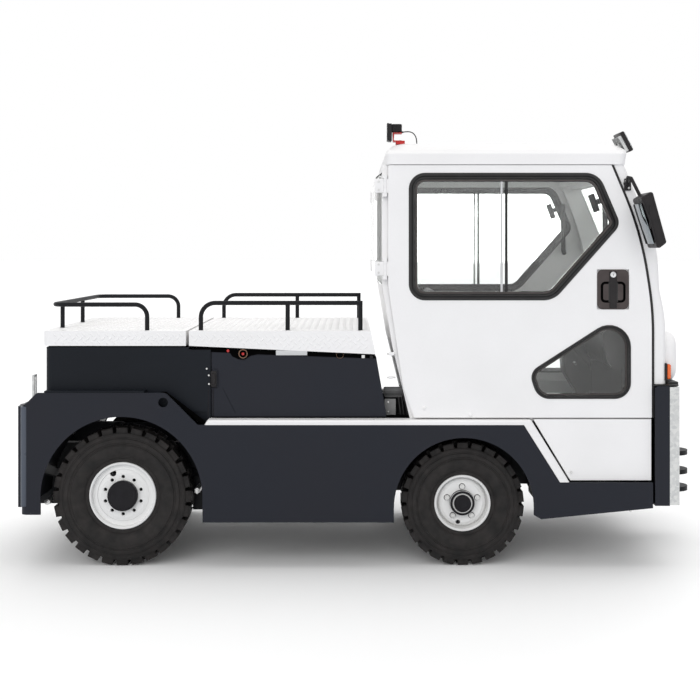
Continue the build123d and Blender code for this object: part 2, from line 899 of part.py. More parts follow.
def make_lamps():
    with BuildPart() as tail_lamps:
        for y in (-510, 510):
            bar(36, 24, (rear_box_x[0] - 12, y, 984), (1, 0, 0))
        fillet(tail_lamps.edges().filter_by(GeomType.CIRCLE).group_by(Axis.X)[0], 9)
    save(tail_lamps, "tail_lamps")
    with BuildPart() as headlamps:
        for y in (-500, 500):
            with BuildSketch(Plane.YZ.offset(1507)):
                with Locations((y, 1006)):
                    RectangleRounded(190, 250, 80)
            extrude(amount=74)
        front_faces = headlamps.faces().group_by(Axis.X)[-1]
        fillet(front_faces.edges(), 34)
    save(headlamps, "headlamps")
    with BuildPart() as indicators:
        for y in (-622, 622):
            block((1507, 1530), (y - 16, y + 16), (905, 978))
        fillet(indicators.faces().group_by(Axis.X)[-1].edges(), 6)
    save(indicators, "indicators")
    with BuildPart() as work_lamps:
        for y in (-500, 500):
            with BuildSketch(side_plane(y + 80)):
                outline_face(((1294, 2100, 4), (1319, 2114, 4), (1368, 2022, 4), (1343, 2006, 4)))
            extrude(amount=160)
            with BuildSketch(side_plane(y + 30)):
                outline_face(((1292, 2038.25, 0), (1306, 2082, 0), (1343, 2012, 0), (1322, 2012, 0)))
            extrude(amount=60)
        with BuildSketch(side_plane(-450)):
            outline_face(((160, 2062, 6), (160, 2156, 10), (226, 2150, 12), (232, 2062, 6)))
        extrude(amount=90)
        with BuildSketch(side_plane(-470)):
            outline_face(((206, 2044.8, 0), (206, 2064, 0), (252, 2064, 0), (252, roof_top_z, 0), (230, roof_top_z, 0)))
        extrude(amount=50)
    save(work_lamps, "work_lamps")


def make_mirrors():
    # Mirror head carried by a bent tube on a bracket at the windscreen pillar
    with BuildPart() as mirrors:
        block((1300, 1336), (-662, -cab_front_half_width), (1820, 1870))
        tube(((1312, -660, 1850), (1306, -705, 1880), (1436, -712, 1632)), 14, 8)
        with BuildSketch(side_plane(-720)):
            outline_face(((1322, 1771, 14), (1378, 1809, 14), (1446, 1562, 14), (1400, 1528, 14), (1366, 1650, 0)))
        extrude(amount=170)
        bar(9, 30, (1416, -716, 1664), (0, 1, 0))
        mirror(about=Plane.XZ)
    save(mirrors, "mirrors")


def make_wiper():
    with BuildPart() as wiper:
        bar(16, 26, (1502.5, -200, 1293), (1, 0, 0.215))
        with BuildSketch(side_plane(-192)):
            outline_face(
                (
                    (1500, 1296, 0),
                    (1513, 1300, 6),
                    (1492, 1400, 0),
                    (1484, 1500, 0),
                    (1465, 1600, 0),
                    (1426, 1700, 0),
                    (1416, 1700, 0),
                    (1455, 1598, 0),
                    (1474, 1496, 0),
                    (1482, 1400, 0),
                )
            )
        extrude(amount=16)
    save(wiper, "wiper")


# ---------------------------------------------------------------- running gear

kingpin_y = 440
kingpin_radius = 13
fork_half_gap = 46
eye_thickness = 18
eye_radius = 30
arm_length = 130
arm_half_width = 12
arm_pin_radius = 8
spindle_radius = 18
bearing_gap = 0.4
front_hub_z = front_tyre_radius
rear_hub_z = rear_tyre_radius


brake_rows = {
    # radius and |y| range of each drum and of the backing plate on its inner side
    "front": ((92, 500, 554), (104, 494, 500)),
    "rear": ((112, 440, 566), (124, 432, 440)),
}


def make_front_axle():
    # Beam with a fork and a kingpin at each end
    with BuildPart() as front_axle:
        block((front_axle_x - 32, front_axle_x + 32), (-395, 395), (front_hub_z - 30, front_hub_z + 30))
        for y in (-kingpin_y, kingpin_y):
            side = 1 if y > 0 else -1
            for low in (front_hub_z - fork_half_gap - eye_thickness, front_hub_z + fork_half_gap):
                with Locations((front_axle_x, y, low)):
                    Cylinder(eye_radius, eye_thickness, align=(Align.CENTER, Align.CENTER, Align.MIN))
                inner = sorted((side * 375, y))
                block((front_axle_x - eye_radius, front_axle_x + eye_radius), inner, (low, low + eye_thickness))
            block(
                (front_axle_x - 32, front_axle_x + 32),
                sorted((side * 375, side * 395)),
                (front_hub_z - fork_half_gap - eye_thickness, front_hub_z + fork_half_gap + eye_thickness),
            )
            bar(kingpin_radius, 2 * (fork_half_gap + eye_thickness), (front_axle_x, y, front_hub_z), (0, 0, 1))
        block_pair((front_axle_x - 45, front_axle_x + 45), (210, 260), (front_hub_z + 30, front_hub_z + 40))
    save(front_axle, "front_axle")


def make_knuckles():
    # Boss on the kingpin, spindle and brake drum for the wheel, and steering arm for the tie rod
    height = 2 * fork_half_gap - 2
    with BuildPart() as knuckle:
        with Locations((front_axle_x, -kingpin_y, front_hub_z)):
            Cylinder(26, height)
        bar(24, 40, (front_axle_x, -kingpin_y - 30, front_hub_z), (0, 1, 0))
        bar(spindle_radius, 118, (front_axle_x, -kingpin_y - 89, front_hub_z), (0, 1, 0))
        for radius, low, high in brake_rows["front"]:
            bar(radius, high - low, (front_axle_x, -(low + high) / 2, front_hub_z), (0, 1, 0))
        with BuildSketch(Plane.XY.offset(front_hub_z - 40)):
            with Locations((front_axle_x - arm_length / 2, -kingpin_y)):
                Rectangle(arm_length, 2 * arm_half_width)
            with Locations((front_axle_x - arm_length, -kingpin_y)):
                Circle(arm_half_width + 3)
        extrude(amount=14)
        with Locations((front_axle_x - arm_length, -kingpin_y, front_hub_z - 61)):
            Cylinder(arm_pin_radius, 30, align=(Align.CENTER, Align.CENTER, Align.MIN))
        with Locations((front_axle_x, -kingpin_y, front_hub_z)):
            Cylinder(kingpin_radius + bearing_gap, height + 4, mode=Mode.SUBTRACT)
    save_pair(knuckle, "knuckle")


def make_tie_rod():
    # Rod between the two arms' pins; the arms are parallel, so it stays square to the vehicle
    rod_z = front_hub_z - 53
    with BuildPart() as tie_rod:
        bar(10, 2 * kingpin_y - 22, (front_axle_x - arm_length, 0, rod_z), (0, 1, 0))
        for y in (-kingpin_y, kingpin_y):
            with Locations((front_axle_x - arm_length, y, rod_z)):
                Cylinder(15, 14)
        for y in (-kingpin_y, kingpin_y):
            with Locations((front_axle_x - arm_length, y, rod_z)):
                Cylinder(arm_pin_radius + bearing_gap, 40, mode=Mode.SUBTRACT)
    save(tie_rod, "tie_rod")


def make_rear_axle():
    # Drive axle: tube, brake drums, differential housing and the electric motor ahead of it
    with BuildPart() as rear_axle:
        bar(45, 2 * 420, (rear_axle_x, 0, rear_hub_z), (0, 1, 0))
        with BuildSketch(Plane(origin=(rear_axle_x, 0, rear_hub_z), x_dir=(0, 1, 0), z_dir=(1, 0, 0))):
            Polygon((-150, 0), (-150, 48), (-60, 125), (60, 125), (150, 48), (150, 0), align=None)
        revolve(axis=Axis((rear_axle_x, 0, rear_hub_z), (0, 1, 0)))
        bar(85, 300, (rear_axle_x + 175, 0, rear_hub_z), (1, 0, 0))
        bar(28, 2 * 592, (rear_axle_x, 0, rear_hub_z), (0, 1, 0))
        for radius, low, high in brake_rows["rear"]:
            for side in (-1, 1):
                bar(radius, high - low, (rear_axle_x, side * (low + high) / 2, rear_hub_z), (0, 1, 0))
        block_pair((rear_axle_x - 45, rear_axle_x + 45), (325, 385), (rear_hub_z + 35, rear_hub_z + 52))
    save(rear_axle, "rear_axle")


def make_leaf_springs():
    # Two leaf packs an axle, from the rails' hangers over the axle's seats
    spring_rows = (
        # axle x, |y| of the pack, seat z, rail z, half length
        (rear_axle_x, 355, rear_hub_z + 52, 430, 340),
        (front_axle_x, 237, front_hub_z + 40, 400, 280),
    )
    with BuildPart() as leaf_springs:
        for x, y, seat_z, rail_z, half in spring_rows:
            with BuildSketch(side_plane(-y + 22)):
                with BuildLine():
                    arc = ThreePointArc((x - half, rail_z - 14), (x, seat_z + 10), (x + half, rail_z - 14))
                    offset(amount=9, side=Side.BOTH)
                make_face()
            pack = extrude(amount=44)
            mirror(pack, about=Plane.XZ)
            for end in (-1, 1):
                block_pair((x + end * half - 12, x + end * half + 12), (y - 22, y + 22), (rail_z - 26, rail_z))
            block_pair((x - 40, x + 40), (y - 22, y + 22), (seat_z, seat_z + 14))
    save(leaf_springs, "leaf_springs")


wheel_rows = (
    # name, axle x, tyre radius, tyre width, rim radius, lugs a side
    ("rear", rear_axle_x, rear_tyre_radius, rear_tyre_width, rear_rim_radius, 28),
    ("front", front_axle_x, front_tyre_radius, front_tyre_width, front_rim_radius, 26),
)
lug_share = 0.74
lug_lean = 0.03
lug_height = 25
shoulder_drop = 34
shoulder_share = 0.93
bead_height = 8
bead_share = 0.66
carcass_sides = 26
sidewall_band = 9


def lug_ring(radius, count, phase):
    # Outline of one half of the tread: raised lugs with leaning flanks and slots between them.
    # The two corners inside a lug's tip stand where the other half's lugs end, so the halves share their flats.
    pitch = 360 / count
    half_lug = lug_share / 2
    crossing = 0.5 - half_lug
    corner_rows = (
        # share of the pitch from the lug's middle, radius
        (-half_lug - lug_lean, radius - lug_height),
        (-half_lug, radius),
        (-crossing, radius),
        (crossing, radius),
        (half_lug, radius),
        (half_lug + lug_lean, radius - lug_height),
    )
    corners = []
    for i in range(count):
        middle = 270 + pitch * (i + phase)
        for turn, r in corner_rows:
            corners.append(Vector(r, 0).rotate(Axis.Z, middle + pitch * turn))
    Polygon(*corners, align=None)


def make_tyre(name, x, radius, width, rim_radius, lugs):
    # Many-sided carcass with bulged sidewalls and two staggered rings of lugs, open in the middle for the rim
    half = width / 2
    bead = rim_radius + bead_height
    widest = (bead + radius) / 2
    tread_base = radius - shoulder_drop
    with BuildPart() as tyre:
        with BuildSketch(side_plane(-wheel_centre_y + half)):
            with Locations((x, radius)):
                RegularPolygon(tread_base, carcass_sides, major_radius=False)
                RegularPolygon(bead, carcass_sides, major_radius=False, mode=Mode.SUBTRACT)
        extrude(amount=width)
        for y in (-wheel_centre_y - half, -wheel_centre_y + half):
            sidewall = tyre.faces().filter_by_position(Axis.Y, y - 1, y + 1)[0]
            shoulder = sidewall.outer_wire().edges()
            chamfer(shoulder, tread_base - widest - sidewall_band, (1 - shoulder_share) * half, reference=sidewall)
            sidewall = tyre.faces().filter_by_position(Axis.Y, y - 1, y + 1)[0]
            mouth = sidewall.inner_wires()[0].edges()
            chamfer(mouth, widest - sidewall_band - bead, (1 - bead_share) * half, reference=sidewall)
        for start_y, phase in ((0, -lug_share / 2), (shoulder_share * half, 0.5 - lug_share / 2)):
            with BuildSketch(side_plane(-wheel_centre_y + start_y)):
                with Locations((x, radius)):
                    lug_ring(radius, lugs, phase)
                    RegularPolygon(tread_base - sidewall_band, carcass_sides, mode=Mode.SUBTRACT)
            extrude(amount=shoulder_share * half)
    save_pair(tyre, f"tyre_{name}")


def rim_blank(x, hub_z, half, rim_radius, disc_rows):
    # Drop-centre ring with its dished disc; disc_rows run from the bore out: (radius, outer y, inner y)
    bead = rim_radius + bead_height
    outer = [(-y, r) for r, y, inner in disc_rows]
    inner = [(-inner, r) for r, y, inner in reversed(disc_rows)]
    edge = [
        (-bead_share * half, rim_radius - 4),
        (-bead_share * half, bead),
        (bead_share * half, bead),
        (bead_share * half, rim_radius - 12),
    ]
    with BuildSketch(Plane(origin=(x, -wheel_centre_y, hub_z), x_dir=(0, 1, 0), z_dir=(1, 0, 0))) as section:
        Polygon(*outer, *edge, *inner, align=None)
    revolve(profiles=section.sketch, axis=Axis((x, 0, hub_z), (0, 1, 0)))


def make_rear_rims():
    # Ten-hole disc round the axle's hub cap, with a notch for the valve
    half = rear_tyre_width / 2
    hub_z = rear_tyre_radius
    disc_rows = (
        # radius, outer y, inner y
        (28.4, 50, 38),
        (108, 50, 38),
        (124, 44, 32),
        (146, 22, 12),
    )
    cap_y = -wheel_centre_y - 50
    with BuildPart() as rim:
        rim_blank(rear_axle_x, hub_z, half, rear_rim_radius, disc_rows)
        with Locations(Plane(origin=(rear_axle_x, cap_y, hub_z), x_dir=(1, 0, 0), z_dir=(0, -1, 0))):
            with PolarLocations(90.5, 10, start_angle=90):
                Cylinder(8.5, 60, mode=Mode.SUBTRACT)
            with PolarLocations(118, 1, start_angle=115):
                Cylinder(16, 60, mode=Mode.SUBTRACT)
        bar(72, 30, (rear_axle_x, cap_y - 15 + 0.4, hub_z), (0, 1, 0))
        fillet(rim.edges().filter_by(GeomType.CIRCLE).group_by(Axis.Y)[0], 8)
        bar(28.4, 24, (rear_axle_x, cap_y + 2, hub_z), (0, 1, 0), Mode.SUBTRACT)
    save_pair(rim, "rim_rear")


def make_front_rims():
    # Dished disc with five wheel nuts, a stepped hub with its grease cap and a slot for the valve
    half = front_tyre_width / 2
    hub_z = front_tyre_radius
    disc_rows = (
        # radius, outer y, inner y
        (18.4, 37, 26),
        (98, 37, 26),
        (112, 28, 18),
        (121, 12, 4),
    )
    face_y = -wheel_centre_y - 37
    with BuildPart() as rim:
        rim_blank(front_axle_x, hub_z, half, front_rim_radius, disc_rows)
        with Locations(Plane(origin=(front_axle_x, face_y, hub_z), x_dir=(1, 0, 0), z_dir=(0, -1, 0))):
            with PolarLocations(77.5, 5, start_angle=90):
                Cylinder(12, 14, align=(Align.CENTER, Align.CENTER, Align.MIN))
            with PolarLocations(98, 1, start_angle=258):
                Cylinder(11, 60, mode=Mode.SUBTRACT)
        bar(61, 24, (front_axle_x, face_y - 12 + 0.4, hub_z), (0, 1, 0))
        bar(40, 22, (front_axle_x, face_y - 34 + 0.8, hub_z), (0, 1, 0))
        fillet(rim.edges().filter_by(GeomType.CIRCLE).group_by(Axis.Y)[0], 10)
        bar(18.4, 40, (front_axle_x, face_y, hub_z), (0, 1, 0), Mode.SUBTRACT)
    save_pair(rim, "rim_front")


make_side_plates()
make_chassis_frame()
make_wheel_houses()
make_running_boards()
make_rear_box()
make_battery()
make_battery_bay()
make_battery_side_panels()
make_rear_lid()
make_rear_rail()
make_battery_lid()
make_battery_rails()
make_cab_frame()
make_cab_rear_wall()
make_cab_front()
make_cab_glazing()
make_cab_roof()
make_cab_floor()
make_lower_side_panels()
make_doors()
make_door_seals()
make_door_glass()
make_door_handles()
make_seat()
make_controls()
make_bumpers()
make_couplings()
make_coupling_pins()
make_lamps()
make_mirrors()
make_wiper()
make_front_axle()
make_knuckles()
make_tie_rod()
make_rear_axle()
make_leaf_springs()
for wheel_name, axle_x, tyre_radius, tyre_width, rim_size, lugs_a_side in wheel_rows:
    make_tyre(wheel_name, axle_x, tyre_radius, tyre_width, rim_size, lugs_a_side)
make_rear_rims()
make_front_rims()
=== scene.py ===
import bpy, bmesh, json
from math import cos, exp, pi, radians, sin
from mathutils import Matrix, Vector
from types import SimpleNamespace


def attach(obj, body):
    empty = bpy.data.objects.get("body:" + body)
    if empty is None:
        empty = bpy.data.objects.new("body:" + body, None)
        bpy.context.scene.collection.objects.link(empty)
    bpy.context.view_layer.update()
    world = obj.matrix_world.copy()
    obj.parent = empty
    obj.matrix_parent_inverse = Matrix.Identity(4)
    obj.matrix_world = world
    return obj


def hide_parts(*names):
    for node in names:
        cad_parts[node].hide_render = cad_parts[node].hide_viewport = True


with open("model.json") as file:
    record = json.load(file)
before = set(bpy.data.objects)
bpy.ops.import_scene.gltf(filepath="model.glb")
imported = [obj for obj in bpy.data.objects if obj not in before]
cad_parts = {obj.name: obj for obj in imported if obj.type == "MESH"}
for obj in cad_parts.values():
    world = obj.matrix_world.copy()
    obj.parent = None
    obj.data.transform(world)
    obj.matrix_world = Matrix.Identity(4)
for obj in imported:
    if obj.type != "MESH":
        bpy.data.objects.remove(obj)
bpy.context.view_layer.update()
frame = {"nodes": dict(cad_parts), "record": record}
nodes = frame["nodes"]
mm = 0.001
sides = {"right": -1, "left": 1}
print("frame loaded:", len(nodes), "nodes")


# Small tools

def linear(hexText):
    values = [int(hexText[i:i + 2], 16) / 255 for i in (1, 3, 5)]
    return [v / 12.92 if v <= 0.04045 else ((v + 0.055) / 1.055) ** 2.4 for v in values] + [1.0]


def addNode(tree, kind, settings=None, links=None):
    # Lower-case names are the node's own settings, the rest are its sockets
    node = tree.nodes.new(kind)
    for name, value in (settings or {}).items():
        if isinstance(name, str) and name[0].islower():
            setattr(node, name, value)
        else:
            node.inputs[name].default_value = value
    for name, source in (links or {}).items():
        tree.links.new(source, node.inputs[name])
    return node


def newLook(name, colour, roughness, **sockets):
    # A look: a material with its tree, its shader's sockets and its Object coordinates
    material = bpy.data.materials.new(name)
    material.use_nodes = True
    tree = material.node_tree
    shader = tree.nodes["Principled BSDF"].inputs
    shader["Base Color"].default_value = linear(colour)
    shader["Roughness"].default_value = roughness
    for key, value in sockets.items():
        shader[key.replace("_", " ")].default_value = value
    coords = addNode(tree, "ShaderNodeTexCoord").outputs["Object"]
    return SimpleNamespace(material=material, tree=tree, shader=shader, coords=coords)


def noise(look, sizeMm, detail=3.0, stretch=None):
    # Noise whose lumps are about sizeMm across; stretch squeezes it along an axis
    coords = look.coords
    if stretch:
        coords = addNode(look.tree, "ShaderNodeMapping", {"Scale": stretch}, {"Vector": coords}).outputs["Vector"]
    return addNode(look.tree, "ShaderNodeTexNoise", {"Scale": 1000 / sizeMm, "Detail": detail},
                   {"Vector": coords}).outputs["Fac"]


def cells(look, sizeMm):
    return addNode(look.tree, "ShaderNodeTexVoronoi", {"Scale": 1000 / sizeMm}, {"Vector": look.coords}).outputs


def remap(look, value, low, high, fromLow=0.3, fromHigh=0.7):
    return addNode(look.tree, "ShaderNodeMapRange", {"From Min": fromLow, "From Max": fromHigh, "To Min": low,
                                                     "To Max": high}, {"Value": value}).outputs["Result"]


def mixColours(look, factor, first, second):
    # Either colour may be a hex text or another node's output
    node = addNode(look.tree, "ShaderNodeMix", {"data_type": "RGBA"}, {0: factor})
    for index, colour in ((6, first), (7, second)):
        if isinstance(colour, str):
            node.inputs[index].default_value = linear(colour)
        else:
            look.tree.links.new(colour, node.inputs[index])
    return node.outputs[2]


def tint(look, factor, first, second):
    look.tree.links.new(mixColours(look, factor, first, second), look.shader["Base Color"])


def roughen(look, value, low, high, *spread):
    look.tree.links.new(remap(look, value, low, high, *spread), look.shader["Roughness"])


def bump(look, height, depthMm):
    node = addNode(look.tree, "ShaderNodeBump", {"Strength": 1.0, "Distance": depthMm * mm}, {"Height": height})
    look.tree.links.new(node.outputs["Normal"], look.shader["Normal"])


waveRate = 20  # radians a metre that a wave texture turns through at a scale of 1


def waves(look, direction, stepMm):
    # Bands across one axis, whose phase turns through a radian every stepMm
    return addNode(look.tree, "ShaderNodeTexWave", {"bands_direction": direction, "Scale": 1000 / stepMm / waveRate},
                   {"Vector": look.coords}).outputs["Fac"]


def seenDirectly(tree):
    # 1 for rays from the camera, through glass or off gloss, and 0 for the light that falls on things
    rays = addNode(tree, "ShaderNodeLightPath").outputs
    direct = addNode(tree, "ShaderNodeMath", {"operation": "ADD"},
                     {0: rays["Is Camera Ray"], 1: rays["Is Transmission Ray"]})
    return addNode(tree, "ShaderNodeMath", {"operation": "ADD", "use_clamp": True},
                   {0: direct.outputs[0], 1: rays["Is Glossy Ray"]}).outputs[0]


def paint(node, look):
    materials = nodes[node].data.materials
    materials.clear()
    materials.append(look.material)


roundedFrom = 40  # degrees: sharper edges than this are rounded


def finishPiece(name, mesh, looks, slot="black_plastic", body="chassis", smoothAngle=40, bevelMm=0):
    # A bmesh made into a piece: outward normals, looks and body, shaded smooth up to an angle in degrees; slot is not
    # used
    bmesh.ops.recalc_face_normals(mesh, faces=mesh.faces)
    data = bpy.data.meshes.new(name)
    mesh.to_mesh(data)
    mesh.free()
    piece = bpy.data.objects.new(name, data)
    bpy.context.scene.collection.objects.link(piece)
    for look in looks:
        data.materials.append(look.material)
    if bevelMm:
        rounding = piece.modifiers.new("rounding", "BEVEL")
        rounding.width = bevelMm * mm
        rounding.segments = 2
        rounding.limit_method = "ANGLE"
        rounding.angle_limit = radians(roundedFrom)
    data.shade_smooth()
    data.set_sharp_from_angle(angle=radians(smoothAngle))
    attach(piece, body)
    return piece


def roundEdges(mesh, edges, bevel, segments=2):
    return bmesh.ops.bevel(mesh, geom=edges, offset=bevel * mm, segments=segments, profile=0.5, affect="EDGES",
                           material=-1)["verts"]


def addBox(mesh, x, y, z, bevel=0, segments=2, index=0):
    # A box from its ranges in millimetres, either end of a range first, with its edges rounded
    size = [abs(high - low) * mm for low, high in (x, y, z)]
    centre = [(high + low) / 2 * mm for low, high in (x, y, z)]
    made = bmesh.ops.create_cube(mesh, size=1)["verts"]
    bmesh.ops.scale(mesh, vec=size, verts=made)
    bmesh.ops.translate(mesh, vec=centre, verts=made)
    faces = {f for v in made for f in v.link_faces}
    if bevel:
        done = roundEdges(mesh, list({e for v in made for e in v.link_edges}), bevel, segments)
        faces = {f for v in done for f in v.link_faces} | {f for f in faces if f.is_valid}
    for face in faces:
        face.material_index = index
    return list({v for f in faces for v in f.verts})


def addRod(mesh, start, end, radius, segments=16, endRadius=None, index=0, bevel=0):
    # A round bar or cone between two points in millimetres
    start, end = Vector(start) * mm, Vector(end) * mm
    along = end - start
    turn = along.to_track_quat("Z", "Y").to_matrix().to_4x4()
    place = Matrix.Translation((start + end) / 2) @ turn
    made = bmesh.ops.create_cone(mesh, cap_ends=True, segments=segments, radius1=radius * mm,
                                 radius2=(radius if endRadius is None else endRadius) * mm,
                                 depth=along.length, matrix=place)["verts"]
    faces = {f for v in made for f in v.link_faces}
    if bevel:
        rims = [e for e in {e for v in made for e in v.link_edges}
                if len(e.link_faces) == 2 and any(len(f.verts) > 4 for f in e.link_faces)]
        faces = {f for v in roundEdges(mesh, rims, bevel) for f in v.link_faces} | {f for f in faces if f.is_valid}
    for face in faces:
        face.material_index = index
    return made


def addTurned(mesh, profile, centre, axis, segments=48, index=0):
    # A turned shape: rows of (radius, distance along the axis) in millimetres, spun round the axis
    before = set(mesh.faces)
    axis = Vector(axis).normalized()
    side = axis.orthogonal().normalized()
    centre = Vector(centre) * mm
    ring = [mesh.verts.new(centre + side * r * mm + axis * t * mm) for r, t in profile]
    edges = [mesh.edges.new(pair) for pair in zip(ring, ring[1:])]
    bmesh.ops.spin(mesh, geom=ring + edges, cent=centre, axis=axis, angle=2 * pi, steps=segments, use_merge=True)
    made = [f for f in mesh.faces if f not in before]
    for face in made:
        face.material_index = index
    bmesh.ops.remove_doubles(mesh, verts=list({v for f in made for v in f.verts}), dist=1e-6)
    return [f for f in made if f.is_valid]


def stamp(mesh, unit, places):
    # A small shape set into the mesh once for each matrix, as lugs, nuts and tread bars are
    data = bpy.data.meshes.new("unit")
    unit.to_mesh(data)
    unit.free()
    for place in places:
        copied = data.copy()
        copied.transform(place)
        mesh.from_mesh(copied)
        bpy.data.meshes.remove(copied)
    bpy.data.meshes.remove(data)


def around(centre, angles):
    # Turns about a wheel's own axis through a centre in millimetres
    move = shift(centre)
    return [move @ Matrix.Rotation(angle, 4, "Y") @ move.inverted() for angle in angles]


def addPlate(mesh, corners, plane, level, thickness, bevel=0, index=0):
    # A flat plate from its outline in millimetres; level and thickness run along the axis that plane leaves out
    before = set(mesh.faces)
    normal = ("yz", "xz", "xy").index(plane)
    ring = []
    for corner in corners:
        spot = [value * mm for value in corner]
        spot.insert(normal, level * mm)
        ring.append(mesh.verts.new(spot))
    push = Vector((0, 0, 0))
    push[normal] = thickness * mm
    pushed = bmesh.ops.extrude_face_region(mesh, geom=[mesh.faces.new(ring)])["geom"]
    bmesh.ops.translate(mesh, vec=push, verts=[v for v in pushed if isinstance(v, bmesh.types.BMVert)])
    made = [f for f in mesh.faces if f not in before]
    if bevel:
        roundEdges(mesh, list({e for f in made for e in f.edges}), bevel)
        made = [f for f in mesh.faces if f not in before]
    for face in made:
        face.material_index = index
    return made


def roundedOutline(corners, steps=6):
    # Corners as rows of (across, up, radius), each rounded to its radius
    outline = []
    count = len(corners)
    for i, (a, b, r) in enumerate(corners):
        here = Vector((a, b))
        if not r:
            outline.append((a, b))
            continue
        toward = (Vector(corners[i - 1][:2]) - here).normalized()
        onward = (Vector(corners[(i + 1) % count][:2]) - here).normalized()
        half = toward.angle(onward) / 2
        centre = here + (toward + onward).normalized() * r / sin(half)
        reach = r / (sin(half) / cos(half))
        first = (here + toward * reach - centre).normalized()
        last = (here + onward * reach - centre).normalized()
        for k in range(steps + 1):
            outline.append(tuple(centre + first.slerp(last, k / steps) * r))
    return outline


def flatFace(mesh, corners, level, out, steps):
    # One face from rounded corners (x, z, radius) at a level of Y, turned to the side that out names
    outline = roundedOutline(corners, steps)
    face = mesh.faces.new([mesh.verts.new((a * mm, level * mm, b * mm)) for a, b in outline])
    face.normal_update()
    if face.normal.y * out < 0:
        face.normal_flip()
    return face


def stepIn(mesh, face, steps):
    # A face inset ring by ring; each step is a ring's width and rise in millimetres and its material
    for width, rise, index in steps:
        for ring in bmesh.ops.inset_region(mesh, faces=[face], thickness=width * mm, depth=rise * mm,
                                           use_boundary=True, use_even_offset=True)["faces"]:
            ring.material_index = index


def shift(spot):
    return Matrix.Translation(Vector(spot) * mm)


def movePart(mesh, made, place):
    # Vertices, or faces by their vertices, moved by a matrix
    vertices = {v for part in made for v in (part.verts if hasattr(part, "verts") else [part])}
    bmesh.ops.transform(mesh, matrix=place, verts=list(vertices))


def addSpine(mesh, points, radius, segments=14, index=0):
    # A bent bar: rods with a ball at each bend
    for start, end in zip(points, points[1:]):
        addRod(mesh, start, end, radius, segments, index=index)
    for spot in points[1:-1]:
        made = bmesh.ops.create_uvsphere(mesh, u_segments=segments, v_segments=8, radius=radius * mm,
                                         matrix=shift(spot))["verts"]
        for face in {f for v in made for f in v.link_faces}:
            face.material_index = index


still = (0, 0)  # a range that doesn't change along a row of boxes


def addDetails(mesh, details, out=1):
    # Details from rows that start with their kind; y counts outwards on the side that out names
    for kind, *row in details.values():
        if kind == "box":  # ranges, bevel, steps, material
            x, y, z, *rest = row
            addBox(mesh, x, [out * value for value in y], z, *rest)
        elif kind == "rod":  # ends, radius, sides, end radius, material, bevel
            addRod(mesh, *[(x, out * y, z) for x, y, z in row[:2]], *row[2:])
        elif kind == "bolts":  # places as (x, z), span of Y, radius, sides, end radius, material, bevel
            spots, span, *rest = row
            for x, z in spots:
                addRod(mesh, *[(x, out * y, z) for y in span], *rest)
        elif kind == "boxes":  # how many, change of each range from one to the next, and the first one as a box
            count, changes, *ranges, bevel, steps, index = row
            for i in range(count):
                x, y, z = [[v + i * dv for v, dv in zip(span, change)] for span, change in zip(ranges, changes)]
                addBox(mesh, x, [out * value for value in y], z, bevel, steps, index)
        elif kind == "turned":  # profile, centre, steps, material
            profile, (x, y, z), *rest = row
            addTurned(mesh, profile, (x, out * y, z), (0, out, 0), *rest)
        elif kind == "plate":  # outline, level, thickness, bevel, material
            corners, level, thickness, *rest = row
            addPlate(mesh, corners, "xz", out * level, out * thickness, *rest)
        else:  # spine: points, radius, sides, material
            addSpine(mesh, [(x, out * y, z) for x, y, z in row[0]], *row[1:])


def detailPiece(name, looks, details, both={}, outs=sides.values(), **settings):
    # A piece of details that stand once and of details that stand on each side in outs
    mesh = bmesh.new()
    addDetails(mesh, details)
    for out in outs:
        addDetails(mesh, both, out)
    return finishPiece(name, mesh, looks, **settings)


# Camera

camera = {
    # place and lens in millimetres; the frame is shifted down by a share of its width; farthest reach in metres
    "x": -20, "y": -6440, "z": 1530, "lens": 61.8, "sensor": 36, "lowered": 0.1429, "reach": 400,
}
view = bpy.data.cameras.new("viewCamera")
view.lens, view.sensor_width = camera["lens"], camera["sensor"]
view.shift_y = -camera["lowered"]
view.clip_end = camera["reach"]
viewObject = bpy.data.objects.new("viewCamera", view)
viewObject.location = (camera["x"] * mm, camera["y"] * mm, camera["z"] * mm)
viewObject.rotation_euler = (radians(90), 0, 0)
bpy.context.scene.collection.objects.link(viewObject)
bpy.context.scene.camera = viewObject


# Floor, backdrop and light

studio = {
    # strength of the sky's light and of what the camera sees of it, floor as seen, floor as it bounces light
    "worldLevel": 0.56, "worldSeen": 1.0, "floorSeen": 1.0, "floorGrey": "#c9ccd2", "floorHalf": 150, "floorDrop": 0.5,
    # place that each sun shines from, strength and angle of its disc in degrees
    "suns": {"overhead": ((0.3, 1.2, 5.0), 1.12, 70), "nearSide": ((-1.6, -6.0, 2.0), 1.5, 60),
             "farSide": ((1.6, 6.0, 1.5), 1.35, 50)},
}
bpy.context.scene.view_settings.view_transform = "Standard"
world = bpy.data.worlds.new("paleStudio")
bpy.context.scene.world = world
world.use_nodes = True
sky = world.node_tree
sky.nodes.clear()
seen = seenDirectly(sky)
ambient, white = [addNode(sky, "ShaderNodeBackground", {"Color": linear("#ffffff"), "Strength": studio[level]})
                  for level in ("worldLevel", "worldSeen")]
blend = addNode(sky, "ShaderNodeMixShader", None, {0: seen, 1: ambient.outputs[0], 2: white.outputs[0]})
addNode(sky, "ShaderNodeOutputWorld", None, {"Surface": blend.outputs[0]})

for name, (place, strength, spread) in studio["suns"].items():
    sun = bpy.data.lights.new(name, "SUN")
    sun.energy, sun.angle = strength, radians(spread)
    sunObject = bpy.data.objects.new(name, sun)
    sunObject.location = place
    sunObject.rotation_euler = (-Vector(place)).to_track_quat("-Z", "Y").to_euler()
    sunObject.visible_glossy = False  # gloss shows the white studio, not the lamp
    bpy.context.scene.collection.objects.link(sunObject)

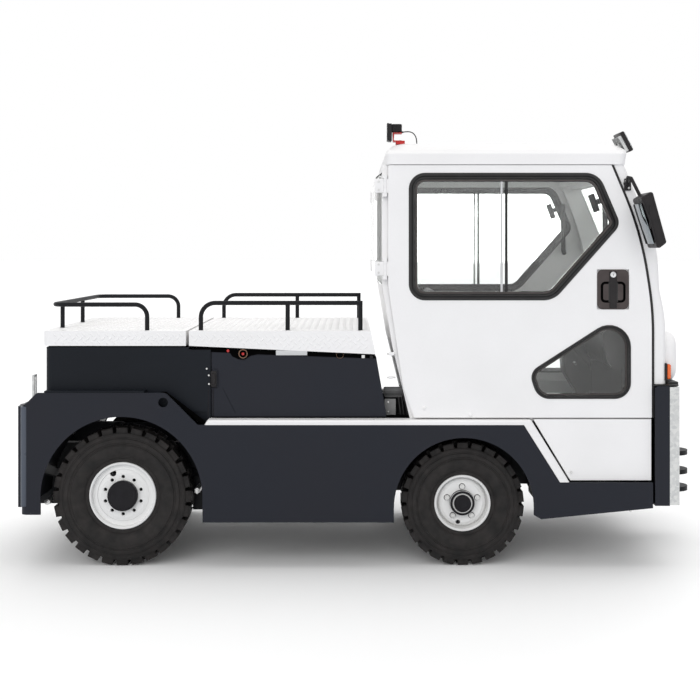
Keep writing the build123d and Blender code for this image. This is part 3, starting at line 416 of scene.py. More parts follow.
ground = bmesh.new()
bmesh.ops.create_grid(ground, x_segments=1, y_segments=1, size=studio["floorHalf"])
groundData = bpy.data.meshes.new("floor")
ground.to_mesh(groundData)
ground.free()
groundObject = bpy.data.objects.new("floor", groundData)
groundObject.location.z = -studio["floorDrop"] * mm
bpy.context.scene.collection.objects.link(groundObject)
floorPaint = bpy.data.materials.new("paleStudioFloor")  # matt sweep, white where it is lit, that keeps the shadow
floorPaint.use_nodes = True
tree = floorPaint.node_tree
tree.nodes.clear()
matt = addNode(tree, "ShaderNodeBsdfDiffuse", {"Color": linear(studio["floorGrey"])})
sweep = addNode(tree, "ShaderNodeBsdfDiffuse", {"Color": [studio["floorSeen"]] * 3 + [1]})
both = addNode(tree, "ShaderNodeMixShader", None, {0: seenDirectly(tree), 1: matt.outputs[0], 2: sweep.outputs[0]})
addNode(tree, "ShaderNodeOutputMaterial", None, {"Surface": both.outputs[0]})
groundData.materials.append(floorPaint)
print("camera and studio ready")


# Materials

texture = {
    # millimetres: spangles, waves and holes from one to the next, and for bands the step of one radian
    "spangle": 14, "zincWaves": 60, "lensPrisms": 6, "threads": 3.2, "caseRibs": 60, "dialTicks": 7, "liningHoles": 12,
}


def paintedSteel(name, colour, dust, roughness, peelDepth, gloss=0.5):
    # Baked enamel on steel sheet: even colour with a soft sheen, faint orange peel and a little dust
    look = newLook(name, colour, roughness, IOR=1.5, Specular_IOR_Level=gloss)
    clouds = noise(look, 420, 4)
    tone = mixColours(look, remap(look, clouds, 0.0, 0.5), colour, dust)
    tint(look, remap(look, noise(look, 9, 2), 0.0, 0.12), tone, dust)
    roughen(look, clouds, roughness - 0.05, roughness + 0.09)
    bump(look, noise(look, 3.5, 1), peelDepth)
    return look


whiteEnamel = paintedSteel("whiteEnamel", "#f3f2f2", "#e6e5e4", 0.36, 0.05)
anthraciteEnamel = paintedSteel("anthraciteEnamel", "#26272d", "#262930", 0.42, 0.10, 0.14)
# also used for the darker line painted as shade along the battery panel's slanting crease
boxEnamelAndCreaseShade = paintedSteel("boxEnamelAndCreaseShade", "#14171c", "#1f2228", 0.42, 0.10, 0.14)
blackEnamel = paintedSteel("blackEnamel", "#101114", "#1a1b1e", 0.46, 0.10, 0.2)
rimEnamel = paintedSteel("rimEnamel", "#ececeb", "#d9d8d6", 0.40, 0.08)

galvanisedSteel = newLook("galvanisedSteel", "#c6c7c8", 0.42, Metallic=1.0)  # spangled, slightly wavy sheet
spangle = addNode(galvanisedSteel.tree, "ShaderNodeSeparateColor", None,
                  {0: cells(galvanisedSteel, texture["spangle"])["Color"]}).outputs[0]
tint(galvanisedSteel, spangle, "#d2d3d2", "#bfc1c2")
roughen(galvanisedSteel, spangle, 0.36, 0.46, 0, 1)
bump(galvanisedSteel, noise(galvanisedSteel, texture["zincWaves"], 3), 0.25)


def mouldedRubber(name, colour, roughness, grainMm, grainDepth, dust, gloss=0.2):
    # Rubber from a mould: near-black, matt, paler where handling and dust have bloomed it
    look = newLook(name, colour, roughness, IOR=1.52, Specular_IOR_Level=gloss)
    tint(look, remap(look, noise(look, 60, 5), 0.0, 1.0), colour, dust)
    roughen(look, noise(look, 25, 3), roughness - 0.08, roughness + 0.08)
    bump(look, noise(look, grainMm, 2), grainDepth)
    return look


tyreRubber = mouldedRubber("tyreRubber", "#171616", 0.62, 2.5, 0.2, "#2a2726", 0.28)
sealRubber = mouldedRubber("sealRubber", "#0d0c0d", 0.36, 4.0, 0.03, "#1b1a1b", 0.45)
# also used for the near-black strips painted as shade in the battery panel's creases
grainedAbsAndCreaseShade = mouldedRubber("grainedAbsAndCreaseShade", "#161416", 0.42, 3.0, 0.05, "#1f1c1d", 0.3)  # ABS with a fine grain
floorMat = mouldedRubber("ribbedFloorMat", "#232325", 0.7, 6.0, 0.2, "#2c2c2e", 0.2)


def clearPane(name, tone, roughness, transmission=1.0, gloss=0.5):
    # Toughened glass or clear polycarbonate: see-through with a faint tint and dust that takes the gloss off
    look = newLook(name, tone, roughness, IOR=1.5, Transmission_Weight=transmission, Specular_IOR_Level=gloss)
    roughen(look, noise(look, 80, 4), roughness, roughness + 0.05)
    tint(look, remap(look, noise(look, 300, 3), 0, 1), tone, "#f6faf8")
    return look


safetyGlass = clearPane("safetyGlass", "#fdfefd", 0.0, 1.0, 0.12)
lampLens = clearPane("clearLens", "#f4f6f7", 0.08, 0.55)


def colouredLens(name, colour, dark):
    # Moulded acrylic lens with prisms that break up its gloss
    look = newLook(name, colour, 0.18, IOR=1.49, Coat_Weight=0.4)
    prisms = waves(look, "Y", texture["lensPrisms"])
    tint(look, prisms, colour, dark)
    bump(look, prisms, 0.6)
    return look


redLens = colouredLens("redLens", "#b31212", "#7d0a0a")
orangeLens = colouredLens("orangeLens", "#e8641a", "#b8430c")

seatCloth = newLook("wovenSeatCloth", "#1b1d22", 0.9, Sheen_Weight=0.35)  # dark weave, matt with a pale nap
weave = addNode(seatCloth.tree, "ShaderNodeMath", {"operation": "MULTIPLY"},
                {i: waves(seatCloth, axis, texture["threads"]) for i, axis in enumerate("XZ")}).outputs[0]
tint(seatCloth, weave, "#1b1d22", "#3a3d46")
bump(seatCloth, weave, 0.5)

batteryCase = newLook("polypropyleneCase", "#2b2c2f", 0.55, IOR=1.49)
bump(batteryCase, waves(batteryCase, "X", texture["caseRibs"]), 2.0)  # the case's upright ribs

slotPaint = {
    "white_paint": whiteEnamel, "anthracite_paint": anthraciteEnamel, "black_paint": blackEnamel,
    "galvanised_steel": galvanisedSteel, "chequer_plate": whiteEnamel, "glass": safetyGlass, "rubber": sealRubber,
    "tyre": tyreRubber, "rim_paint": rimEnamel, "black_plastic": grainedAbsAndCreaseShade, "seat_cover": seatCloth,
    "lamp_lens": lampLens, "red_lens": redLens, "orange_lens": orangeLens, "battery_case": batteryCase,
}
for row in frame["record"]["subparts"]:
    paint(row["node"], slotPaint[row["material_slot"]])
paint("cab_floor", floorMat)
paint("rear_box", boxEnamelAndCreaseShade)
print("materials ready")


# Tyres: block-tread industrial tyres that stand for the plain CAD ones

tyreShape = {
    # axle x, radius, width, rim radius, lugs a side (millimetres)
    "rear": (-1125, 335, 190, 155, 28),
    "front": (527, 298, 176, 129, 26),
}
wheelY = 535
lug = {
    # share of the pitch, height, depth set into the carcass, gap to the radius, share of the half width reached
    "share": 0.72, "height": 26, "sunk": 14, "crown": 1.4, "reach": 0.895,
    # reach past the middle, shoulder's lean, narrowing at the tip and the foot, dish in its side, rounded edges
    "overlap": 4, "lean": 0.045, "tip": 0.985, "foot": 1.03, "dish": 3.5, "dishEdge": 7, "edge": 2.5,
}
beadWidth, wallInset = 8.3, 1.2
sidewallRows = [
    # share of the way from the bead to the lugs, share of the half width: bulge, ribs and grooves
    (0.0, 0.60), (0.02, 0.67), (0.07, 0.70), (0.12, 0.70), (0.15, 0.78), (0.24, 0.87), (0.36, 0.935), (0.48, 0.965),
    (0.56, 0.97), (0.585, 1.0), (0.605, 1.0), (0.62, 0.955), (0.66, 0.955), (0.68, 0.985), (0.75, 0.985),
    (0.80, 0.97), (0.815, 0.93), (0.85, 0.93), (0.87, 0.955), (0.94, 0.945), (0.99, 0.90), (1.0, 0.80),
]


def makeTyre(end, side):
    axleX, radius, width, rimRadius, count = tyreShape[end]
    half = width / 2
    out = sides[side]
    centre = (axleX, out * wheelY, radius)
    mesh = bmesh.new()
    bead, root = rimRadius + beadWidth, radius - lug["height"]
    sidewall = [(bead + share * (root - bead), wide * (half - wallInset)) for share, wide in sidewallRows]
    profile = sidewall + [(root + 1, 0)] + [(r, -t) for r, t in reversed(sidewall)] + [sidewall[0]]
    addTurned(mesh, profile, centre, (0, out, 0), segments=4 * count)
    pitch = 2 * pi / count
    sweep = radius * sin(pitch * lug["share"] / 2)
    for face, phase in ((out, 0.0), (-out, 0.5)):
        unit = bmesh.new()
        yOuter, yInner = centre[1] + face * lug["reach"] * half, centre[1] - face * lug["overlap"]
        for v in addBox(unit, (axleX - sweep, axleX + sweep), (yInner, yOuter),
                        (radius + root - lug["sunk"], 2 * radius - lug["crown"])):
            tip = v.co.z > (2 * radius - 5) * mm  # the lug narrows to its tip and leans in at the shoulder
            v.co.x = axleX * mm + (v.co.x - axleX * mm) * lug["tip" if tip else "foot"]
            if tip and abs(v.co.y - yOuter * mm) < 1e-6:
                v.co.y -= face * lug["lean"] * half * mm
        bmesh.ops.recalc_face_normals(unit, faces=unit.faces)
        panel = [f for f in unit.faces if f.normal.y * face > 0.7]
        bmesh.ops.inset_individual(unit, faces=panel, thickness=lug["dishEdge"] * mm, depth=-lug["dish"] * mm)
        top = {e for f in unit.faces for e in f.edges if all(v.co.z > (radius + root - 10) * mm for v in e.verts)}
        roundEdges(unit, [e for e in top if e.calc_face_angle(0) > 1.2], lug["edge"])
        stamp(mesh, unit, around(centre, [pitch * (i + phase) for i in range(count)]))
    piece = finishPiece(f"blockTyre_{end}_{side}", mesh, [tyreRubber], "tyre", f"wheel_{end}_{side}", 32)
    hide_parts(f"tyre_{end}_{side}")


for end in tyreShape:
    for side in sides:
        makeTyre(end, side)
print("tyres made")


# Wheel centres: hub caps, wheel nuts and valves over the CAD rims

wheelCentre = {
    # outer face of the disc, cap radius, cap reach, nut circle radius, nuts, valve's place on the disc,
    # and the rings round the cap as (profile, steps, material)
    "rear": (50, 73.4, 81.2, 90.5, 10, (-50, 107), [
        ([(125.4, 43.5), (126.6, 45.8), (140, 41.5), (148, 42), (151, 46), (151.8, 59.7)], 96, 1)]),
    "front": (37, 41.2, 82.4, 77.5, 5, (-20, -96), [
        ([(43.2, 61), (44.2, 64), (47.2, 64), (48.2, 61.8)], 56, 2),
        ([(48, 62), (49.2, 63), (59.5, 61), (61.4, 58), (61.4, 37.5), (58, 37.5)], 56, 0)]),
}
hubShape = {
    # profiles from the cap's edge and from the rim's edge, whose reach is a share of the tyre's half width
    "cap": [(-16, 0), (-14.5, 1.2), (-9, 1.2), (-4, -0.8), (-0.8, -5), (0, -10)],
    "band": [(-3, -4), (-3, 1), (0, 4), (5, 4), (7.6, 1), (7.6, -4)], "bandReach": 0.66,
    # reach and radii of the front nut, span and radius of its stud, and the washers
    "nut": (15.5, 13, 12.2), "stud": (15, 22, 6.5), "frontWasher": [(12.6, 0.4), (13.6, 1.4), (15.4, 0.4)],
    "rearWasher": [(9, 0.3), (10.5, 1.6), (14, 1.6), (15.5, 0.3)],
    "valve": (22, 40, 4.5, 3.8),  # depth of its foot, length, radius at the foot and the tip
}
capAbs = mouldedRubber("hubCapAbs", "#0f0e12", 0.42, 3.0, 0.04, "#17161a", 0.2)  # black cap with a dull sheen
brightZinc = paintedSteel("zincPlatedNut", "#ececeb", "#a9a9a8", 0.3, 0.02)
brightZinc.shader["Metallic"].default_value = 0.85


def makeHub(end, side):
    axleX, radius, width, rimRadius = tyreShape[end][:4]
    face, capRadius, capReach, nutCircle, nuts, (valveX, valveZ), rings = wheelCentre[end]
    out = sides[side]
    axis = Vector((0, out, 0))
    centre = Vector((axleX, out * wheelY, radius))
    mesh = bmesh.new()
    cap = [(0, capReach)] + [(capRadius + r, capReach + t) for r, t in hubShape["cap"]]
    addTurned(mesh, cap + [(capRadius, face + 0.5), (capRadius - 4, face + 0.5)], centre, axis, 56, 0)
    edge = hubShape["bandReach"] * width / 2
    addTurned(mesh, [(rimRadius + r, edge + t) for r, t in hubShape["band"]], centre, axis, 96, 1)
    for profile, steps, index in rings:
        addTurned(mesh, profile, centre, axis, steps, index)
    unit = bmesh.new()
    spot = centre + Vector((0, out * face, nutCircle))
    if end == "front":
        reach, nutRadius, nutTip = hubShape["nut"]
        addRod(unit, spot, spot + axis * reach, nutRadius, 6, nutTip, index=2, bevel=1)
        foot, tip, studRadius = hubShape["stud"]
        addRod(unit, spot + axis * foot, spot + axis * tip, studRadius, 12, index=2, bevel=1)
        addTurned(unit, hubShape["frontWasher"], spot, axis, 24, 0)
    else:
        addTurned(unit, hubShape["rearWasher"], spot, axis, 20, 1)
    stamp(mesh, unit, around(centre, [2 * pi * i / nuts for i in range(nuts)]))
    sunk, length, stemRadius, stemTip = hubShape["valve"]
    foot = centre + Vector((valveX, out * (face - sunk), valveZ))
    addRod(mesh, foot, foot + axis * length, stemRadius, 12, stemTip, index=0, bevel=1)
    looks = [capAbs, rimEnamel, brightZinc]
    finishPiece(f"hubDressing_{end}_{side}", mesh, looks, "rim_paint", f"wheel_{end}_{side}", 35)


for end in wheelCentre:
    for side in sides:
        makeHub(end, side)
print("hubs made")


# Chequer plate: raised bars on the lids' tops and skirts

tread = {
    # spacing and size of the bars, waist of their outline, share of length and width left at the top
    "pitch": 36, "length": 27, "width": 8, "rise": 1.6, "waist": 0.45, "top": (0.78, 0.5),
    # fields: half width of the top, strip left bare over each skirt, skirt's Y, and margins at its edges
    "halfTop": 576, "bareY": 540, "bareHalf": 22, "skirtY": 600, "lowMargin": 14, "highMargin": 14, "firstRow": 16,
    # rear lid: bare strip along its back edge, start of the skirt's field, and the field on its back
    "bareX": -1478, "skirtStart": 45, "backX": -1516, "backY": 545, "backZ": (1082, 1122),
}


def treadBar():
    # One lens-shaped bar, flat at Z = 0
    unit = bmesh.new()
    w, h = tread["width"] / 2, tread["length"] / 2
    waist = h * tread["waist"]
    made = addPlate(unit, [(-h, 0), (-waist, -w), (waist, -w), (h, 0), (waist, w), (-waist, w)], "xy", 0, tread["rise"])
    top = list({v for f in made for v in f.verts if v.co.z > 0})
    bmesh.ops.scale(unit, vec=(*tread["top"], 1), verts=top)
    return unit


def treadPlaces(panel, across, up, keep):
    # A staggered field of bars over a panel, each turned the other way from its neighbours
    places = []
    half = tread["pitch"] / 2
    for j in range(int((up[1] - up[0]) / half) + 1):
        for i in range(j % 2, int((across[1] - across[0]) / half) + 1, 2):
            a, b = across[0] + i * half, up[0] + j * half
            if keep(a, b):
                turn = Matrix.Rotation(radians(45 if i % 2 else -45), 4, "Z")
                places.append(panel @ Matrix.Translation((a * mm, b * mm, 0)) @ turn)
    return places


lidShape = {
    # x range of the top, its z, the skirt's lower edge at the rear and at the front
    "rear_lid": (-1500, -835, 1136, 1064, 1064),
    "battery_lid": (-787, 75, 1136, 1064, 1023),
}
upright, mirrored = Matrix.Rotation(radians(90), 4, "X"), Matrix.Scale(-1, 4, (0, 0, 1))
for body, (rearX, frontX, topZ, lowRear, lowFront) in lidShape.items():
    isRear = body == "rear_lid"
    top = Matrix.Translation((0, 0, topZ * mm))
    places = treadPlaces(top, (rearX, frontX), (-tread["halfTop"], tread["halfTop"]),
                         lambda a, b: abs(abs(b) - tread["bareY"]) > tread["bareHalf"]
                         and not (isRear and abs(a - tread["bareX"]) < tread["bareHalf"]))
    fall = (lowFront - lowRear) / (frontX - rearX)
    start = rearX + (tread["skirtStart"] if isRear else 0)
    for out in sides.values():
        skirt = Matrix.Translation((0, out * tread["skirtY"] * mm, 0)) @ upright
        if out > 0:
            skirt = skirt @ mirrored
        places += treadPlaces(skirt, (start, frontX - 4), (lowFront + tread["firstRow"], topZ - tread["highMargin"]),
                              lambda a, b: b > lowRear + fall * (a - rearX) + tread["lowMargin"])
    if isRear:
        back = Matrix.Translation((tread["backX"] * mm, 0, 0)) @ Matrix.Rotation(radians(90), 4, "Z")
        places += treadPlaces(back @ upright @ mirrored, (-tread["backY"], tread["backY"]), tread["backZ"],
                              lambda a, b: True)
    mesh = bmesh.new()
    stamp(mesh, treadBar(), places)
    finishPiece(f"chequerBars_{body}", mesh, [whiteEnamel], "chequer_plate", body, 30)
print("chequer plate made")


# Door windows: ribbed rubber, inner frame, bars and catches over the CAD seals

windowShape = {
    # corners of the rubber's outer edge as (x, z, radius), and its width
    "upper": ([(263, 1287, 78), (263, 1902, 78), (1178, 1902, 95), (1285, 1652, 60), (962, 1287, 110)], 43),
    "lower": ([(1334, 812, 78), (1334, 1256, 105), (842, 940, 62), (885, 812, 78)], 25.5),
}
rubberSteps = [
    # share of the width, rise in millimetres, material: 0 rubber, 1 inner frame
    (0.04, 4.0, 0), (0.07, 1.0, 0), (0.17, 0.4, 0), (0.07, -1.6, 0), (0.04, -4.0, 0), (0.05, 3.0, 0),
    (0.20, 0.8, 0), (0.05, -3.0, 0), (0.06, -6.0, 0), (0.18, -2.0, 1), (0.07, -8.5, 1),
]
insideSteps = [(0.05, 3.0, 0), (0.40, 0.6, 0), (0.06, -3.0, 0), (0.10, -8.0, 0), (0.39, -9.0, 0)]
doorFaces = ((650, 1, rubberSteps), (610, -1, insideSteps))  # distance from the middle, side it faces, steps
windowBars = {
    "frame bar": ("box", (728, 742), (631, 641), (1327, 1862), 2, 2, 0),
    "glass channel": ("box", (706.5, 717.5), (635, 639), (1327, 1862), 2, 2, 2),
}
catch = {
    # place, lean in degrees, plate, pull, and the screw's place, reach and radius
    "x": 1160, "y": 622, "z": 1757, "lean": -20, "plate": ((-15, 15), (-9, 9), (-44, 44)),
    "pull": ((13, 62), (-7, 7), (-13, 13)), "screwX": -6, "screwY": (9, 14), "screwRadius": 7,
}
darkAnodised = newLook("darkAnodisedAluminium", "#4a4543", 0.38, Metallic=0.6)
bump(darkAnodised, noise(darkAnodised, 1.2, 1, (1, 1, 14)), 0.02)  # drawn section with faint die lines
tint(darkAnodised, noise(darkAnodised, 40), "#433f3e", "#565150")
paleChannel = paintedSteel("paleSlidingChannel", "#c6c7c8", "#d9dad9", 0.35, 0.03)  # felt-lined glass run, pale grey

for side, out in sides.items():
    mesh = bmesh.new()
    for corners, width in windowShape.values():
        for level, facing, steps in doorFaces:
            face = flatFace(mesh, corners, out * level, out * facing, 9)
            stepIn(mesh, face, [(share * width, rise, index) for share, rise, index in steps])
            bmesh.ops.delete(mesh, geom=[face], context="FACES_ONLY")  # the last face opens to the glass
    addDetails(mesh, windowBars, out)
    made = addBox(mesh, *catch["plate"], 4) + addBox(mesh, *catch["pull"], 4)
    made += addRod(mesh, *[(catch["screwX"], y * out, 0) for y in catch["screwY"]], catch["screwRadius"], 14, index=1)
    turn = Matrix.Rotation(radians(catch["lean"]), 4, "Y")
    movePart(mesh, made, shift((catch["x"], out * catch["y"], catch["z"])) @ turn)
    piece = finishPiece(f"windowRubber_{side}", mesh, [sealRubber, darkAnodised, paleChannel], "rubber",
                        f"door_{side}", 50)
    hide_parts(f"door_seals_{side}")
print("windows made")


# Door handles: tray, hand recess, grip bar and lock barrel

handleShape = {
    # plate and hand recess as corners (x, z, radius), their distance from the middle plane, and their steps
    "plate": [(1170, 1243.5, 30), (1170, 1436.5, 30), (1324, 1436.5, 30), (1324, 1243.5, 30)], "plateY": 650,
    "recess": [(1187, 1276, 22), (1187, 1378, 22), (1307, 1378, 22), (1307, 1276, 22)], "recessY": 653.5,
    "plateSteps": [(0.2, 3.4, 3), (1.8, 1.4, 3), (8.0, 0.2, 3), (2.0, -0.8, 3)],
    # the recess's first four rings take material 4: near-black painted shade round the hand recess
    "recessSteps": [(1.0, 2.4, 4), (1.0, 0.3, 4), (5.0, -1.0, 4), (5.0, -0.1, 4), (2.0, 0.5, 3)],
}
handleDetails = {
    "grip bar": ("box", (1229, 1265), (652, 658.5), (1248.5, 1426.5), 4, 3, 0),
    "hollow under the bar": ("box", (1224, 1270), (651, 656.4), (1279, 1375), 2, 2, 1),
    "lock": ("turned", [(0, 2.6), (9.4, 2.6), (11, 1.4), (13.4, 1.2), (14.4, 0), (0, 0)], (1247, 658.4, 1411), 32, 2),
    "keyhole": ("box", (1245.9, 1248.1), (660.6, 661.3), (1406.5, 1415.5), 0.2, 1, 1),
}
# near-black and matt: painted shadow in the slot under the battery lid, round the handle's hand recess and along the
# rear plate's sloping edge
shadowGap = mouldedRubber("paintedShadowBlack", "#040404", 0.9, 3.0, 0.02, "#060606", 0.02)
handleAbs = mouldedRubber("warmGreyAbs", "#3d3635", 0.5, 3.0, 0.04, "#484140", 0.3)
polishedSteel = newLook("polishedSteel", "#d7d8da", 0.2, Metallic=1.0)  # bright, a little hazed by handling
roughen(polishedSteel, noise(polishedSteel, 6), 0.16, 0.3)

for side, out in sides.items():
    mesh = bmesh.new()
    for part in ("plate", "recess"):
        face = flatFace(mesh, handleShape[part], out * handleShape[part + "Y"], out, 6)
        stepIn(mesh, face, handleShape[part + "Steps"])
        face.material_index = 3
    addDetails(mesh, handleDetails, out)
    piece = finishPiece(f"paddleHandle_{side}", mesh, [grainedAbsAndCreaseShade, sealRubber, polishedSteel, handleAbs, shadowGap],
                        body=f"door_{side}")
    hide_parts(f"door_handle_{side}")
print("door handles made")


# Mirrors: ribbed shells on clamped arms, one each side

mirrorShape = {
    # the head seen from the side as (x, z, radius), its span outwards, its end's steps, and the glass
    "head": [(1324, 1770, 12), (1377, 1805, 12), (1443, 1564, 12), (1401, 1531, 12), (1368, 1650, 60)],
    "span": (722, 888), "steps": [(3.5, 1.2, 0), (5, -0.4, 0), (3, -3.0, 0)],
    "tilt": 17.8, "glass": ((-1.5, 1.5), (-74, 74), (-98, 98)), "glassPlace": (1356, 805, 1652),
}
mirrorDetails = {
    "spine": ("box", (1363, 1371), (885, 888.4), (1628, 1740), 1.5),
    "arm": ("spine", [(1312, 660, 1850), (1308, 698, 1876), (1322, 706, 1872), (1436, 712, 1640)], 8.5),
    "foot": ("box", (1301, 1334), (645, 657), (1816, 1874), 4, 3),
    "boss": ("bolts", ((1312, 1850),), (646, 672), 15, 20, 12, 0, 1.5),
    "foot bolts": ("bolts", ((1308, 1862), (1322, 1828)), (656, 662), 6.5, 6, 5.8, 1, 0.8),
    "clamp": ("rod", (1428, 712, 1660), (1441, 712, 1628), 14, 18, 13, 0, 2),
    "clamp's stem": ("rod", (1436, 712, 1642), (1404, 716, 1652), 10, 16, 12, 0, 1.5),
    "arm's end": ("rod", (1442, 704, 1612), (1446, 704, 1601), 8, 14, 6, 0, 2),
    "clamp bolts": ("bolts", ((1424, 1667), (1434, 1650)), (700, 727), 5, 6, 5, 1, 0.6),
    "swivel block": ("box", (1388, 1412), (707, 725), (1630, 1682), 4, 3),
}
mirrorGlass = newLook("silveredGlass", "#8f979b", 0.03, Metallic=1.0)  # cool grey mirror image
roughen(mirrorGlass, noise(mirrorGlass, 90), 0.02, 0.06)

mesh = bmesh.new()
for out in sides.values():
    low, high = mirrorShape["span"]
    made = addPlate(mesh, roundedOutline(mirrorShape["head"], 5), "xz", out * low, out * (high - low))
    bmesh.ops.recalc_face_normals(mesh, faces=made)
    stepIn(mesh, max(made, key=lambda f: f.normal.y * out), mirrorShape["steps"])
    made = addBox(mesh, *mirrorShape["glass"], 1, 2, 2)
    x, y, z = mirrorShape["glassPlace"]
    movePart(mesh, made, shift((x, out * y, z)) @ Matrix.Rotation(radians(-mirrorShape["tilt"]), 4, "Y"))
    addDetails(mesh, mirrorDetails, out)
piece = finishPiece("mirrorPair", mesh, [grainedAbsAndCreaseShade, brightZinc, mirrorGlass], smoothAngle=35, bevelMm=1.2)
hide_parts("mirrors")
print("mirrors made")


# Roof work lamps and the rear lamp's lead

workLamp = {
    # front roof lamps: places across, half width, top and low end of the face as (x, z), half depth
    "y": (-500, 500), "half": 78, "top": (1306, 2107), "low": (1355.5, 2014), "thick": 13,
    "fins": 13, "finPitch": 11.5, "finReach": 14, "leds": (-50, 0, 50),
    "led": [(0, 0.6), (15, 0.8), (19, 2.4), (20.5, 2.4), (21, 0)],
    # bracket: outline (x, z, radius), distance and thickness, its bolts as (x, z, reach, radius), and its foot
    "bracket": [(1296, 2040, 0), (1296, 2052, 0), (1318, 2086, 6), (1330, 2082, 6), (1344, 2036, 8), (1324, 2016, 4)],
    "bracketY": 34, "bracketThick": 4, "bolts": ((1326, 2062, 8, 7), (1312, 2040, 7, 5)),
    "foot": ((1292, 1322), 36, (2014, 2019)),
}
rearLamp = {
    "lens frame": ("box", (162, 171), (-538, -452), (2068, 2154), 3, 3, 0),
    "lens": ("box", (161.4, 164), (-532, -458), (2074, 2148), 1, 2, 1),
    "housing": ("box", (169, 186), (-537, -453), (2066, 2152), 3, 2, 0),
    "back": ("box", (185, 234), (-533, -457), (2112, 2150), 6, 3, 0),
    "fins": ("boxes", 5, (still, still, (7, 7)), (188, 236), (-536, -454), (2116, 2118.5), 0.6, 1, 0),
    "bracket": ("plate", [(190, 2108), (236, 2108), (236, 2104), (198, 2104), (196, 2070), (250, 2068), (250, 2064),
                          (192, 2064)], -524, 58, 0, 2),
    "foot": ("box", (206, 250), (-524, -466), (2050.5, 2064.5), 2, 1, 2),
    "bolt": ("rod", (230, -495, 2066), (230, -495, 2073), 7, 6, None, 3, 0.8),
    "lead's gland": ("rod", (230, -495, 2112), (244, -495, 2113), 5.5, 14, 4.2, 0, 1),
}
redBracket = paintedSteel("redLacqueredBracket", "#b31212", "#c23a32", 0.4, 0.05)
ledLens = clearPane("polycarbonateLens", "#f4f7f8", 0.12, 0.6)
chrome = newLook("vacuumPlatedReflector", "#e6e8ea", 0.12, Metallic=1.0)  # bright bowl with a soft haze
roughen(chrome, noise(chrome, 12), 0.08, 0.2)

mesh = bmesh.new()
top, low = [Vector((workLamp[end][0], 0, workLamp[end][1])) for end in ("top", "low")]
down = (low - top).normalized()
front = Vector((-down.z, 0, down.x))  # the lens faces forward
turn = Matrix((front, Vector((0, 1, 0)), -down)).transposed().to_4x4()
half, tall, thick = workLamp["half"], (low - top).length / 2, workLamp["thick"]
for y in workLamp["y"]:
    made = addBox(mesh, (-thick + 2, thick - 4), (-half, half), (-tall, tall), 4, 3, 0)
    made += addBox(mesh, (thick - 5, thick), (-half + 5, half - 5), (-tall + 5, tall - 5), 2, 2, 1)
    for i in range(workLamp["fins"]):  # cooling fins on the back
        across = (i - workLamp["fins"] // 2) * workLamp["finPitch"]
        made += addBox(mesh, (-thick - workLamp["finReach"], -thick + 4), (across - 1.5, across + 1.5),
                       (-tall + 8, tall - 14), 0, 1, 2)
    for across in workLamp["leds"]:
        made += addTurned(mesh, workLamp["led"], (thick - 4, across, 0), (1, 0, 0), 24, 3)
    movePart(mesh, made, Matrix.Translation(((top + low) / 2 + Vector((0, y, 0))) * mm) @ turn)
    for side in (-1, 1):
        edge = y + side * workLamp["bracketY"]
        plate = workLamp["bracketThick"]
        addPlate(mesh, roundedOutline(workLamp["bracket"], 4), "xz", edge - plate / 2, plate, 0, 2)
        for x, z, reach, radius in workLamp["bolts"]:
            addRod(mesh, (x, edge - side * 4, z), (x, edge + side * reach, z), radius, 6, index=2, bevel=0.8)
    x, footHalf, z = workLamp["foot"]
    addBox(mesh, x, (y - footHalf, y + footHalf), z, 1, 1, 2)
workLampFrame = finishPiece("roofLamps_front", mesh, [grainedAbsAndCreaseShade, ledLens, galvanisedSteel, chrome], smoothAngle=35)
lampRear = detailPiece("roofLamp_rear", [grainedAbsAndCreaseShade, ledLens, redBracket, brightZinc], rearLamp, smoothAngle=35)
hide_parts("work_lamps")
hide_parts("work_lamps")

leadShape = {
    "radius": 2.8, "y": -495,
    "route": [(243, 2113), (258, 2115), (276, 2115), (293, 2108), (305, 2092), (310, 2072), (311, 2046)],
}
lead = bpy.data.curves.new("roofLampLead", "CURVE")
lead.dimensions = "3D"
lead.bevel_depth = leadShape["radius"] * mm
lead.bevel_resolution = 3
spline = lead.splines.new("NURBS")
spline.points.add(len(leadShape["route"]) - 1)
for point, (x, z) in zip(spline.points, leadShape["route"]):
    point.co = (x * mm, leadShape["y"] * mm, z * mm, 1)
spline.order_u = 3
spline.use_endpoint_u = True
leadObject = bpy.data.objects.new("roofLampLead", lead)
bpy.context.scene.collection.objects.link(leadObject)
lead.materials.append(sealRubber.material)
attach(leadObject, "chassis")
print("roof lamps made")


# Headlamps, indicators and tail lamps: glazed faces, bezels and bases

headlamp = {
    # places across, height, half width and half height, corner radius, x of the base and its thickness
    "y": (-500, 500), "z": 1006, "halfWide": 95, "halfTall": 125, "radius": 80, "foot": 1507, "base": 26,
    # steps of the shell, bezel and bowl, and the bulb's place above the centre and its profile
    "steps": [(2, 10, 0), (3, 9, 0), (5, 9, 0), (8, 8, 0), (3, 3, 0), (8, 1.5, 0), (2.5, -3, 1), (26, 4.5, 1),
              (3, -1.5, 2), (14, -9, 2)],
    "bulbX": 60, "bulbRise": 22, "bulb": [(0, 11), (8, 10), (12, 6), (13, 0)],
}
mesh = bmesh.new()
wide, tall, z = headlamp["halfWide"], headlamp["halfTall"], headlamp["z"]
for y in headlamp["y"]:
    corners = [(y + a * wide, z + b * tall, headlamp["radius"]) for a, b in ((-1, -1), (-1, 1), (1, 1), (1, -1))]
    made = addPlate(mesh, roundedOutline(corners, 8), "yz", headlamp["foot"], headlamp["base"], 0, 0)
    bmesh.ops.recalc_face_normals(mesh, faces=made)
    front = max(made, key=lambda f: f.calc_center_median().x)
    stepIn(mesh, front, headlamp["steps"])
    front.material_index = 2
    addTurned(mesh, headlamp["bulb"], (headlamp["foot"] + headlamp["bulbX"], y, z + headlamp["bulbRise"]), (1, 0, 0),
              24, 3)
headlampPair = finishPiece("headlampPair", mesh, [whiteEnamel, lampLens, chrome, ledLens], "lamp_lens")
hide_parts("headlamps")

